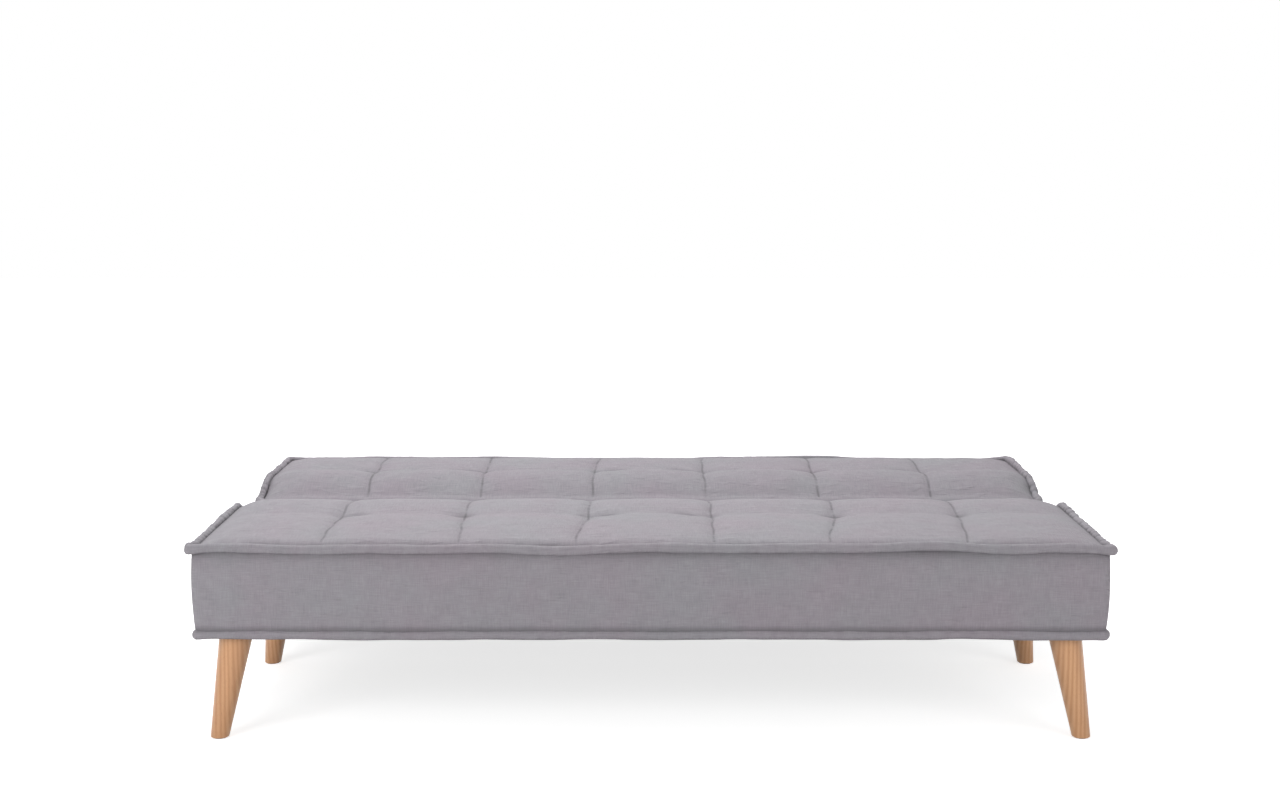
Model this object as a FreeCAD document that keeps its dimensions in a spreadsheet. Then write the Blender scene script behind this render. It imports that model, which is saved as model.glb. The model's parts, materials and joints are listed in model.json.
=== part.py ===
import FreeCAD, Part
import math
import os
import re
import Sketcher

# Click clack sofa bed, lying flat as a bed.
# Frame: +Z up, +X along the length, the front faces -Y, the floor is z = 0 and the origin is
# below the middle of the whole. Both cushions are drawn in a panel frame whose +Y runs away
# from the hinge line; the seat is that frame turned half round.

SIZES = {
    # Overall
    "bed_length": 1800.0,
    "seat_depth": 570.0,
    "back_depth": 430.0,
    "base_height": 201.0,
    "box_height": 183.0,
    "hinge_gap": 7.0,
    "hinge_drop": 30.0,
    "drop_run": 130.0,
    "seat_corner_radius": 22.0,
    "back_corner_radius": 34.0,
    "hinge_corner_radius": 70.0,
    "fit_gap": 0.3,
    "least_corner_radius": 4.0,
    # Stuffed rolls and cloth
    "roll_radius": 9.0,
    "base_roll_set_in": 4.0,
    "roll_bend": 13.0,
    "cover_thickness": 2.5,
    "foam_gap": 0.8,
    "trim_margin": 4.0,
    "cover_hem": 12.0,
    "band_thickness": 2.0,
    "band_top_set_in": 7.0,
    "band_bulge_set_in": 4.0,
    "band_foot_set_in": 8.0,
    "band_foot_drop": 0.2,
    "dust_thickness": 1.0,
    "dust_corner_radius": 6.0,
    # Biscuit tufting
    "tuft_columns": 7.0,
    "crown_height": 20.0,
    "seam_depth": 6.0,
    "tuft_depth": 14.0,
    "cross_dip": 7.0,
    "edge_lift": 2.0,
    "edge_bow": 1.0,
    "edge_ease": 0.5,
    "shoulder_width": 28.0,
    "shoulder_rise": 12.0,
    "shoulder_share": 0.6,
    "shoulder_ease": 2.4,
    "crown_ease": 3.0,
    "seam_shoulder_depth": 2.0,
    "tie_radius": 1.5,
    # Timber frame
    "frame_lift": 4.0,
    "frame_set_in": 26.0,
    "hinge_rail_set_in": 26.5,
    "rail_thickness": 20.0,
    "end_rail_thickness": 25.0,
    "rail_height": 85.0,
    "end_rail_start": 58.0,
    "bearer_width": 20.0,
    "bearer_height": 40.0,
    "bearer_spacing": 430.0,
    "block_length": 70.0,
    "block_height": 50.0,
    # Suspension
    "wire_radius": 1.7,
    "spring_count": 11.0,
    "spring_spacing": 150.0,
    "spring_half_width": 20.0,
    "spring_pitch": 30.0,
    "clip_metal": 1.2,
    "clip_width": 24.0,
    "clip_length": 16.0,
    "clip_gap": 0.1,
    "pad_thickness": 3.0,
    "pad_set_in": 4.0,
    # Legs
    "leg_set_in": 81.0,
    "leg_corner_set_in": 59.0,
    "leg_splay": 32.0,
    "leg_top_radius": 33.5,
    "leg_foot_radius": 18.25,
    "glide_height": 2.0,
    "glide_radius": 15.0,
    "leg_bolt_radius": 4.0,
    "leg_bolt_in_leg": 45.0,
    "leg_bolt_in_block": 38.0,
    "insert_radius": 6.5,
    "insert_length": 26.0,
    "socket_overshoot": 52.0,
    "socket_length": 130.0,
    "thread_gap": 0.1,
    # Hinge plates
    "plate_set_in": 30.0,
    "plate_thickness": 4.0,
    "keeper_thickness": 2.0,
    "plate_gap": 0.5,
    "pivot_rise": 2.0,
    "pivot_radius": 5.0,
    "pin_head_radius": 9.0,
    "pin_head_height": 3.0,
    "running_gap": 0.05,
    "eye_radius": 11.0,
    "foot_near": 62.0,
    "foot_far": 185.0,
    "foot_top": 78.0,
    "foot_bottom": 112.0,
    "bolt_near": 84.0,
    "bolt_far": 165.0,
    "bolt_drop": 90.0,
    "bolt_radius": 3.0,
    "bolt_head_radius": 5.5,
    "bolt_head_height": 4.0,
    "nut_height": 5.0,
    "bolt_gap": 0.2,
    "bolt_tip": 2.0,
    "seat_web_knee": 2.0,
    "seat_web_knee_drop": 50.0,
    "seat_web_heel": 20.0,
    "seat_web_heel_drop": 84.0,
    "pin_web_reach": 16.0,
    "pin_web_drop": 2.0,
    "back_web_start": 1.0,
    "back_web_start_drop": 11.0,
    "back_web_knee": 45.0,
    "back_web_knee_drop": 57.0,
    "back_web_root": 16.0,
    "back_web_heel": 6.0,
    "back_web_heel_drop": 52.0,
    "back_web_end": 9.0,
    "back_web_end_drop": 6.0,
    "keeper_margin": 2.0,
    "keeper_slant": 4.0,
    "keeper_half_width": 8.0,
    "keeper_eye_radius": 10.0,
    "keeper_pin_eye_radius": 9.0,
    # Ratchet and pawl
    "sector_radius": 34.0,
    "notch_radius": 27.0,
    "nose_angle": -70.0,
    "nose_radius": 28.5,
    "nose_half_width": 3.0,
    "lounge_angle": 40.0,
    "sofa_angle": 75.0,
    "sector_lead": 12.0,
    "pawl_swing": 9.0,
    "pawl_pin_back": 38.0,
    "pawl_pin_drop": 60.0,
    "pawl_pin_radius": 3.5,
    "pawl_head_radius": 6.0,
    "pawl_head_height": 2.0,
    "pawl_heel": 22.0,
    "pawl_throat": 9.0,
    "pawl_back_reach": 4.0,
    "pawl_eye_reach": 7.0,
    "pawl_tail": 12.0,
    "pawl_eye_radius": 8.0,
    "leaf_thickness": 1.2,
    "leaf_length": 34.0,
    "leaf_post_radius": 3.0,
    "recess_length": 82.0,
    "recess_set_in": 32.0,
    "recess_width": 18.0,
    "recess_head": 4.0,
}

doc = FreeCAD.newDocument("sofa_bed")
sheet = doc.addObject("Spreadsheet::Sheet", "Sizes")
for row, (name, value) in enumerate(SIZES.items(), start=1):
    sheet.set(f"A{row}", name)
    sheet.set(f"B{row}", f"{value:g}")
    sheet.setAlias(f"B{row}", name)
doc.recompute()

# Places worked out from the sizes, as expressions that both the sheet and the objects read
HALF = "(bed_length / 2)"
HINGE_Y = "((seat_depth - back_depth) / 2)"
ROLL_Z = "(base_height + box_height)"
BASE_ROLL_Z = "(base_height + roll_radius)"
RAIL_Z = "(base_height + frame_lift)"
RAIL_TOP = f"({RAIL_Z} + rail_height)"
HINGE_ROLL_Z = f"({ROLL_Z} - hinge_drop)"
EDGE = "(hinge_gap / 2)"
COVER_SET_IN = "(2 * roll_radius + fit_gap)"
FOAM_SET_IN = f"({COVER_SET_IN} + cover_thickness + foam_gap)"
WIRE_Z = f"({RAIL_TOP} + clip_metal + clip_gap + wire_radius)"
PAD_Z = f"({WIRE_Z} + wire_radius + fit_gap)"
FOAM_Z = f"({PAD_Z} + pad_thickness + fit_gap)"
DUST_Z = f"({RAIL_Z} - dust_thickness)"
PIVOT_Z = f"({HINGE_ROLL_Z} + pivot_rise)"
SEAT_PLATE_X = f"({HALF} - plate_set_in)"
BACK_PLATE_X = f"({SEAT_PLATE_X} + plate_thickness + plate_gap)"
KEEPER_X = f"({BACK_PLATE_X} + plate_thickness + plate_gap)"
LEG_X = f"({HALF} - leg_set_in)"
PAWL_Y = f"({HINGE_Y} - pawl_pin_back)"
PAWL_Z = f"({PIVOT_Z} - pawl_pin_drop)"

X_AXIS = FreeCAD.Vector(1, 0, 0)
Z_AXIS = FreeCAD.Vector(0, 0, 1)
ORIGIN = FreeCAD.Vector(0, 0, 0)
ALONG_X = FreeCAD.Rotation(FreeCAD.Vector(1, 1, 1), 120)
SUB_PARTS = []


def measure(expression):
    # The value of an expression of the sheet's names
    return float(sheet.evalExpression(expression))


def linked(expression):
    # The same expression as another object writes it
    return re.sub(r"[a-z_]{3,}", lambda word: "Sizes." + word[0] if word[0] in SIZES else word[0], expression)


def point(x, y, z):
    return FreeCAD.Vector(measure(x), measure(y), measure(z))


def add(kind, label):
    item = doc.addObject(kind, label)
    item.Label = label
    return item


def bind(item, **expressions):
    for name, expression in expressions.items():
        item.setExpression(name, linked(expression))
    return item


def put(item, x, y, z, rotation=None):
    if rotation is not None:
        item.Placement = FreeCAD.Placement(ORIGIN, rotation)
    for axis, expression in zip("xyz", (x, y, z)):
        item.setExpression("Placement.Base." + axis, linked(expression))
    return item


def box(label, corner, extent):
    item = bind(add("Part::Box", label), Length=extent[0], Width=extent[1], Height=extent[2])
    return put(item, *corner)


def rod(label, radius, length, start, rotation=None):
    item = bind(add("Part::Cylinder", label), Radius=radius, Height=length)
    return put(item, *start, rotation)


def hexagon(label, radius, length, start, rotation=None):
    item = bind(add("Part::Prism", label), Circumradius=radius, Height=length)
    item.Polygon = 6
    return put(item, *start, rotation)


def group(label, items):
    item = add("Part::Compound", label)
    item.Links = items
    return item


def joined(label, items):
    item = add("Part::MultiFuse", label)
    item.Shapes = items
    return item


def cut(label, base, tools):
    item = add("Part::Cut", label)
    item.Base = base
    item.Tool = tools[0] if len(tools) == 1 else group(label + "_tools", tools)
    return item


def mirrored(label, source):
    item = add("Part::Mirroring", label)
    item.Source = source
    item.Normal = X_AXIS
    return item


def pair(label, source):
    return group(label, [source, mirrored(label + "_twin", source)])


def solid(label, shape):
    item = add("Part::Feature", label)
    item.Shape = shape
    return item


def sub_part(item, label=None):
    if label is not None:
        item.Label = label
    SUB_PARTS.append(item)
    return item


# Outlines and profiles in the panel frame

class Panel:
    """One of the two upholstered boxes, drawn with +Y running away from the hinge line."""

    def __init__(self, name, depth, corner_radius, rail_face, turn):
        self.name = name
        self.depth = depth
        self.corner_radius = corner_radius
        self.rail_face = rail_face
        self.turn = turn

    def keep(self, item, part_name):
        # Labels a finished sub-part and moves it from the panel frame to its place
        item.Placement = FreeCAD.Placement(ORIGIN, FreeCAD.Rotation(Z_AXIS, self.turn))
        item.setExpression("Placement.Base.y", linked(HINGE_Y))
        return sub_part(item, f"{self.name}_{part_name}")


def arc(start, middle, end):
    return Part.Arc(start, middle, end).toShape()


def line(start, end):
    return Part.LineSegment(start, end).toShape()


def corner(centre, radius, start_angle):
    # A quarter turn, anticlockwise from start_angle
    spots = []
    for step in (0, 45, 90):
        angle = math.radians(start_angle + step)
        spots.append(centre + FreeCAD.Vector(radius * math.cos(angle), radius * math.sin(angle), 0))
    return spots


def outline(panel, set_in, level, least="least_corner_radius"):
    # The rounded plan of the panel, drawn in from its outer edge by set_in
    half = measure(f"{HALF} - ({set_in})")
    near = measure(f"{EDGE} + ({set_in})")
    far = measure(f"{panel.depth} - ({set_in})")
    near_radius = max(measure(f"hinge_corner_radius - ({set_in})"), measure(least))
    far_radius = max(measure(f"{panel.corner_radius} - ({set_in})"), measure(least))
    z = measure(level)
    corners = [
        corner(FreeCAD.Vector(half - near_radius, near + near_radius, z), near_radius, -90),
        corner(FreeCAD.Vector(half - far_radius, far - far_radius, z), far_radius, 0),
        corner(FreeCAD.Vector(far_radius - half, far - far_radius, z), far_radius, 90),
        corner(FreeCAD.Vector(near_radius - half, near + near_radius, z), near_radius, 180),
    ]
    edges = []
    for index, spots in enumerate(corners):
        edges.append(arc(*spots))
        edges.append(line(spots[2], corners[(index + 1) % 4][0]))
    return Part.Wire(edges)


def slab(panel, set_in, low, high, least="least_corner_radius"):
    face = Part.Face(outline(panel, set_in, low, least))
    return face.extrude(Z_AXIS * (measure(high) - measure(low)))


def drop_profile(shift, x):
    # The side line of the top roll, level from the far edge and eased down to the hinge,
    # moved square to itself by shift, as points from the hinge outwards
    high = measure(ROLL_Z)
    low = measure(HINGE_ROLL_Z)
    start = measure(f"{EDGE} + hinge_corner_radius")
    run = measure("drop_run")
    fall = high - low
    bend = (run * run + fall * fall) / (4 * fall)
    turn = math.asin(run / (2 * bend))

    def lower(share):
        radius = bend - shift
        angle = turn * share
        return FreeCAD.Vector(x, start + radius * math.sin(angle), low + bend - radius * math.cos(angle))

    def upper(share):
        radius = bend + shift
        angle = turn * share
        out = start + run - radius * math.sin(angle)
        return FreeCAD.Vector(x, out, high - bend + radius * math.cos(angle))

    return [lower(0), lower(0.5), lower(1), upper(0.5), upper(0)]


def roll_height(y):
    # Height of the side line's centre at a distance from the hinge line
    high = measure(ROLL_Z)
    low = measure(HINGE_ROLL_Z)
    start = measure(f"{EDGE} + hinge_corner_radius")
    share = min(max((y - start) / measure("drop_run"), 0.0), 1.0)
    return low + (high - low) * (1 - math.cos(math.pi * share)) / 2


def swept(path, radius):
    # A round bar along a path that starts on the middle plane and runs along X there
    start = path.Vertexes[0].Point
    ring = Part.Wire([Part.Circle(start, X_AXIS, radius).toShape()])
    half = path.makePipeShell([ring], True, False)
    return half.fuse(half.mirror(ORIGIN, X_AXIS)).removeSplitter()


def top_roll(panel):
    radius = measure("roll_radius")
    x = measure(f"{HALF} - roll_radius")
    near = measure(f"{EDGE} + roll_radius")
    far = measure(f"{panel.depth} - roll_radius")
    near_bend = measure("hinge_corner_radius - roll_radius")
    far_bend = measure(f"{panel.corner_radius} - roll_radius")
    high = measure(ROLL_Z)
    low = measure(HINGE_ROLL_Z)
    first = corner(FreeCAD.Vector(x - near_bend, near + near_bend, low), near_bend, -90)
    last = corner(FreeCAD.Vector(x - far_bend, far - far_bend, high), far_bend, 0)
    side = drop_profile(0, x)
    path = Part.Wire([
        line(FreeCAD.Vector(0, near, low), first[0]),
        arc(*first),
        arc(side[0], side[1], side[2]),
        arc(side[2], side[3], side[4]),
        line(side[4], last[0]),
        arc(*last),
        line(last[2], FreeCAD.Vector(0, far, high)),
    ])
    return swept(path, radius)


def bottom_roll(panel):
    radius = measure("roll_radius")
    set_in = "(roll_radius + base_roll_set_in)"
    x = measure(f"{HALF} - {set_in}")
    near = measure(f"{EDGE} + {set_in}")
    far = measure(f"{panel.depth} - {set_in}")
    near_bend = measure(f"hinge_corner_radius - {set_in}")
    far_bend = max(measure(f"{panel.corner_radius} - {set_in}"), measure("roll_bend"))
    z = measure(BASE_ROLL_Z)
    first = corner(FreeCAD.Vector(x - near_bend, near + near_bend, z), near_bend, -90)
    last = corner(FreeCAD.Vector(x - far_bend, far - far_bend, z), far_bend, 0)
    path = Part.Wire([
        line(FreeCAD.Vector(0, near, z), first[0]),
        arc(*first),
        line(first[2], last[0]),
        arc(*last),
        line(last[2], FreeCAD.Vector(0, far, z)),
    ])
    return swept(path, radius)


def section(panel, x, kind, lowered, flat_bottom):
    # A cross cut of the stuffed top: upright ends, a shoulder at each end and two crowns with
    # the tufted cross seam between them
    near = measure(f"{EDGE} + {COVER_SET_IN} - trim_margin")
    far = measure(f"{panel.depth} - {COVER_SET_IN} + trim_margin")
    middle = measure(f"{panel.depth} / 2")
    shoulder = measure("shoulder_width")
    lift = measure("edge_lift")
    high = measure(ROLL_Z)
    low = measure(HINGE_ROLL_Z)
    crown = high + measure("crown_height")
    rise = measure("shoulder_rise")
    spots = [near, near + shoulder, (near + shoulder + middle) / 2, middle,
             (middle + far - shoulder) / 2, far - shoulder, far]
    if kind == "edge":
        heights = [roll_height(y) + lift for y in spots]
        heights[2] += measure("edge_bow")
        heights[4] += measure("edge_bow")
        ease = measure("edge_ease")
    else:
        heights = [low + lift, low + lift + rise, crown, crown - measure("cross_dip"),
                   crown, high + lift + rise, high + lift]
        ease = measure("crown_ease")
    if kind == "shoulder":
        edges = [roll_height(y) + lift for y in spots]
        share = measure("shoulder_share")
        heights = [edge + (height - edge) * share for edge, height in zip(edges, heights)]
        ease = measure("shoulder_ease")
    if kind == "seam":
        seam = measure("seam_depth")
        end = measure("seam_shoulder_depth")
        falls = [0, end, seam, measure("tuft_depth - cross_dip"), seam, end, 0]
        heights = [height - fall for height, fall in zip(heights, falls)]
    heights = [height - lowered for height in heights]

    def spot(index):
        return FreeCAD.Vector(x, spots[index], heights[index])

    def between(first, second):
        return (spot(first) + spot(second)) / 2 + Z_AXIS * ease

    hem = measure("cover_hem")
    if flat_bottom:
        near_foot = far_foot = measure(FOAM_Z)
    else:
        near_foot = low - hem
        far_foot = high - hem
    bend = measure(f"{EDGE} + hinge_corner_radius + drop_run")
    feet = [
        FreeCAD.Vector(x, near, near_foot),
        FreeCAD.Vector(x, bend, far_foot),
        FreeCAD.Vector(x, far, far_foot),
    ]
    return Part.Wire([
        line(feet[0], spot(0)),
        arc(spot(0), between(0, 1), spot(1)),
        arc(spot(1), spot(2), spot(3)),
        arc(spot(3), spot(4), spot(5)),
        arc(spot(5), between(5, 6), spot(6)),
        line(spot(6), feet[2]),
        line(feet[2], feet[1]),
        line(feet[1], feet[0]),
    ])


def tuft_seams():
    # The X of each seam between two columns, from left to right
    columns = int(measure("tuft_columns"))
    pitch = measure("bed_length") / columns
    return [(index - columns / 2) * pitch for index in range(1, columns)]


def stuffed_top(panel, lowered, set_in, flat_bottom):
    # The tufted crown over the whole panel, column by column, trimmed to its rounded plan
    edge = measure(f"{HALF} - {COVER_SET_IN} + trim_margin")
    seams = tuft_seams()
    bounds = [-edge] + seams + [edge]
    columns = []
    for left, right in zip(bounds[:-1], bounds[1:]):
        stops = [(left, "seam"), ((left + right) / 2, "crown"), (right, "seam")]
        if left == -edge:
            stops[0] = (left, "edge")
            stops.insert(1, (left + measure("shoulder_width"), "shoulder"))
        if right == edge:
            stops[-1] = (right, "edge")
            stops.insert(-1, (right - measure("shoulder_width"), "shoulder"))
        wires = [section(panel, x, kind, lowered, flat_bottom) for x, kind in stops]
        columns.append(Part.makeLoft(wires, True, False))
    top = columns[0].multiFuse(columns[1:])
    return top.common(slab(panel, set_in, "base_height", f"{ROLL_Z} + 2 * crown_height"))


def recess(low, high):
    # The hollow at each hinge corner where the folding plates lie, between two heights
    width = measure("recess_width")
    length = measure("recess_length + roll_radius")
    start = measure(f"{HALF} - recess_set_in")
    hollow = Part.makeBox(width, length, high - low, FreeCAD.Vector(start, -measure("roll_radius"), low))
    return hollow.fuse(hollow.mirror(ORIGIN, X_AXIS))


def band(panel):
    # The upright wall of cloth between the rolls, slightly bulged
    levels = [
        (f"{BASE_ROLL_Z} + roll_radius - band_foot_drop", "band_foot_set_in"),
        ("base_height + box_height / 2", "band_bulge_set_in"),
        (ROLL_Z, "band_top_set_in"),
    ]
    outer = [outline(panel, set_in, level) for level, set_in in levels]
    inner = [outline(panel, f"{set_in} + band_thickness", level) for level, set_in in levels]
    ring = Part.makeLoft(outer, True, False).cut(Part.makeLoft(inner, True, False))
    shift = -measure("roll_radius + fit_gap")
    start = -measure(f"{HALF} + roll_radius")
    side = drop_profile(shift, start)
    far = measure(f"{panel.depth} + roll_radius")
    foot = measure("base_height")
    last = FreeCAD.Vector(start, far, side[4].z)
    below = Part.Face(Part.Wire([
        line(FreeCAD.Vector(start, -far, side[0].z), side[0]),
        arc(side[0], side[1], side[2]),
        arc(side[2], side[3], side[4]),
        line(side[4], last),
        line(last, FreeCAD.Vector(start, far, foot)),
        line(FreeCAD.Vector(start, far, foot), FreeCAD.Vector(start, -far, foot)),
        line(FreeCAD.Vector(start, -far, foot), FreeCAD.Vector(start, -far, side[0].z)),
    ])).extrude(X_AXIS * (-2 * start))
    return ring.common(below).cut(recess(foot, measure(f"{ROLL_Z} + crown_height")))


def strip(wall, near, far):
    # The stretch of the wall between two distances from the hinge line
    width = measure(f"2 * {HALF}")
    low = measure("base_height")
    room = Part.makeBox(2 * width, far - near, 2 * measure("box_height"), FreeCAD.Vector(-width, near, low))
    return wall.common(room)


def between_slits():
    # Room round the stretch of the wall along the hinge line, between the slits for the plates
    half = measure(f"{HALF} - recess_set_in")
    near = measure(f"{EDGE} + hinge_corner_radius")
    low = measure("base_height")
    return Part.makeBox(2 * half, 2 * near, 2 * measure("box_height"), FreeCAD.Vector(-half, -near, low))


def spring(panel, x):
    # One zigzag wire from the hinge rail to the far rail
    first = measure(f"{EDGE} + hinge_rail_set_in + rail_thickness / 2")
    last = measure(f"{panel.depth} - frame_set_in - rail_thickness / 2")
    loops = 2 * round((last - first) / measure("2 * spring_pitch"))
    pitch = (last - first) / loops
    half = measure("spring_half_width")
    z = measure(WIRE_Z)
    edges = []
    side = 1
    for index in range(loops + 1):
        y = first + index * pitch
        edges.append(line(FreeCAD.Vector(x - side * half, y, z), FreeCAD.Vector(x + side * half, y, z)))
        if index < loops:
            start = FreeCAD.Vector(x + side * half, y, z)
            edges.append(arc(start, start + FreeCAD.Vector(side * pitch / 2, pitch / 2, 0),
                             start + FreeCAD.Vector(0, pitch, 0)))
        side = -side
    path = Part.Wire(edges)
    ring = Part.Wire([Part.Circle(path.Vertexes[0].Point, X_AXIS, measure("wire_radius")).toShape()])
    return path.makePipeShell([ring], True, False)


def spring_places():
    count = int(measure("spring_count"))
    return [(index - (count - 1) / 2) * measure("spring_spacing") for index in range(count)]


def clip(x, y):
    # A sheet metal clip: a tongue on the rail and a sleeve round the wire
    z = measure(WIRE_Z)
    width = measure("clip_width")
    bore = measure("wire_radius + clip_gap")
    outer = bore + measure("clip_metal")
    length = measure("clip_length")
    start = FreeCAD.Vector(x - width / 2, y, z)
    sleeve = Part.makeCylinder(outer, width, start, X_AXIS)
    tongue = Part.makeBox(width, length, measure("clip_metal"),
                          FreeCAD.Vector(x - width / 2, y - length / 2, measure(RAIL_TOP)))
    return sleeve.fuse(tongue).cut(Part.makeCylinder(bore, width, start, X_AXIS))


# Timber frame, springs, foam and cloth of one panel

def build_frame(panel):
    near = f"({EDGE} + hinge_rail_set_in)"
    far = f"({panel.depth} - frame_set_in)"
    inner = f"({panel.rail_face} - end_rail_thickness)"
    span = f"({far} - {near} - 2 * rail_thickness)"
    hinge_rail = box("bar", (f"-{inner}", near, RAIL_Z), (f"2 * {inner}", "rail_thickness", "rail_height"))
    panel.keep(group("rail", [hinge_rail]), "hinge_rail")
    outer_rail = box("bar", (f"-{inner}", f"{far} - rail_thickness", RAIL_Z),
                     (f"2 * {inner}", "rail_thickness", "rail_height"))
    panel.keep(group("rail", [outer_rail]), "outer_rail")
    end_rail = box("bar", (inner, "end_rail_start", RAIL_Z),
                   ("end_rail_thickness", f"{far} - end_rail_start", "rail_height"))
    holes = []
    for place in ("bolt_near", "bolt_far"):
        holes.append(rod("hole", "bolt_radius + bolt_gap", "end_rail_thickness",
                         (inner, place, f"{PIVOT_Z} - bolt_drop"), ALONG_X))
    panel.keep(pair("end_rails", cut("end_rail", end_rail, holes)), "end_rails")
    bearers = []
    for place in (-1, 0, 1):
        start = f"{place} * bearer_spacing - bearer_width / 2"
        bearers.append(box("bearer", (start, f"{near} + rail_thickness", RAIL_Z),
                           ("bearer_width", span, "bearer_height")))
    panel.keep(group("bearers", bearers), "cross_bearers")


def build_blocks(panel, bored):
    near = f"({EDGE} + hinge_rail_set_in + rail_thickness)"
    far = f"({panel.depth} - frame_set_in - rail_thickness)"
    inner = f"({panel.rail_face} - end_rail_thickness)"
    blocks = []
    for place, inset in (("near", near), ("far", f"({far} - block_length)")):
        block = box("block", (f"{inner} - block_length", inset, RAIL_Z),
                    ("block_length", "block_length", "block_height"))
        if bored:
            block = cut("bored_block", block, [leg_rod(f"{place}_socket", "insert_radius + thread_gap", place,
                                                       "-socket_overshoot", "socket_length")])
        blocks.append(pair("blocks", block))
    panel.keep(group("corner_blocks", blocks), "corner_blocks")


def leg_axis(place):
    # Foot and top of a right-hand leg's centre line in the seat's panel frame
    x = measure(LEG_X)
    splay = measure("leg_splay")
    if place == "near":
        top = FreeCAD.Vector(x, measure("leg_corner_set_in"), measure(DUST_Z))
        foot = FreeCAD.Vector(x + splay, top.y - splay, measure("glide_height"))
    else:
        top = FreeCAD.Vector(x, measure("seat_depth - leg_corner_set_in"), measure(DUST_Z))
        foot = FreeCAD.Vector(x + splay, top.y + splay, measure("glide_height"))
    return foot, top


def leg_rod(label, radius, place, start, length):
    # A round rod on a leg's centre line, from a distance past the leg's top
    foot, top = leg_axis(place)
    way = (top - foot).normalize()
    item = bind(add("Part::Cylinder", label), Radius=radius, Height=length)
    item.Placement = FreeCAD.Placement(top + way * measure(start), FreeCAD.Rotation(Z_AXIS, way))
    return item


def build_suspension(panel):
    first = measure(f"{EDGE} + hinge_rail_set_in + rail_thickness / 2")
    last = measure(f"{panel.depth} - frame_set_in - rail_thickness / 2")
    springs = [spring(panel, x) for x in spring_places()]
    panel.keep(solid("springs", Part.makeCompound(springs)), "springs")
    clips = [clip(x, y) for x in spring_places() for y in (first, last)]
    panel.keep(solid("clips", Part.makeCompound(clips)), "spring_clips")
    near = f"({EDGE} + hinge_rail_set_in + rail_thickness + pad_set_in)"
    far = f"({panel.depth} - frame_set_in - rail_thickness - pad_set_in)"
    inner = f"({panel.rail_face} - end_rail_thickness - pad_set_in)"
    pad = box("pad", (f"-{inner}", near, PAD_Z), (f"2 * {inner}", f"{far} - {near}", "pad_thickness"))
    panel.keep(group("spring_pad", [pad]), "spring_pad")


def build_padding(panel):
    middle = measure(f"{panel.depth} / 2")
    foam = stuffed_top(panel, measure("cover_thickness + foam_gap"), FOAM_SET_IN, True)
    foam = foam.cut(recess(measure("base_height"), measure(f"{HINGE_ROLL_Z} - roll_radius - recess_head")))
    low = measure(f"{FOAM_Z} - fit_gap")
    high = measure(f"{ROLL_Z} + crown_height - tuft_depth - cover_thickness - foam_gap")
    ties = []
    for x in tuft_seams():
        start = FreeCAD.Vector(x, middle, low)
        ties.append(Part.makeCylinder(measure("tie_radius"), high - low, start))
        foam = foam.cut(Part.makeCylinder(measure("tie_radius + fit_gap"), 2 * (high - low), start))
    panel.keep(solid("foam", foam), "foam")
    panel.keep(solid("tuft_ties", Part.makeCompound(ties)), "tuft_ties")
    outer = stuffed_top(panel, 0, COVER_SET_IN, False)
    inner = stuffed_top(panel, measure("cover_thickness"), f"({COVER_SET_IN} + cover_thickness)", True)
    panel.keep(solid("cover", outer.cut(inner)), "cover")


def build_cloth(panel):
    far = measure(f"{panel.depth} - {panel.corner_radius}")
    past = measure(f"{panel.depth} + roll_radius")
    wall = band(panel)
    middle = between_slits()
    panel.keep(solid("outer_band", strip(wall, far, past)), "outer_band")
    panel.keep(solid("side_bands", strip(wall, 0, far).cut(middle)), "side_bands")
    panel.keep(solid("hinge_band", wall.common(middle)), "hinge_band")
    panel.keep(solid("top_roll", top_roll(panel)), "top_roll")
    panel.keep(solid("bottom_roll", bottom_roll(panel)), "bottom_roll")


def build_dust_cover(panel, bored):
    low = measure(DUST_Z)
    reach = math.sqrt(measure("roll_radius * roll_radius") - measure(f"({BASE_ROLL_Z} - {RAIL_Z})") ** 2)
    set_in = f"(roll_radius + base_roll_set_in + fit_gap + {reach:.4f})"
    top = f"{DUST_Z} + dust_thickness"
    cloth = solid("dust_sheet", slab(panel, set_in, DUST_Z, top, "dust_corner_radius"))
    if not bored:
        panel.keep(group("dust_cover", [cloth]), "dust_cover")
        return
    holes = []
    for place in ("near", "far"):
        hole = leg_rod("bolt_hole", "leg_bolt_radius + thread_gap", place,
                       "-insert_length", "2 * insert_length")
        holes.extend([hole, mirrored("bolt_hole_twin", hole)])
    panel.keep(cut("dust_cover", cloth, holes), "dust_cover")


# Legs, their glides and fixings

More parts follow.
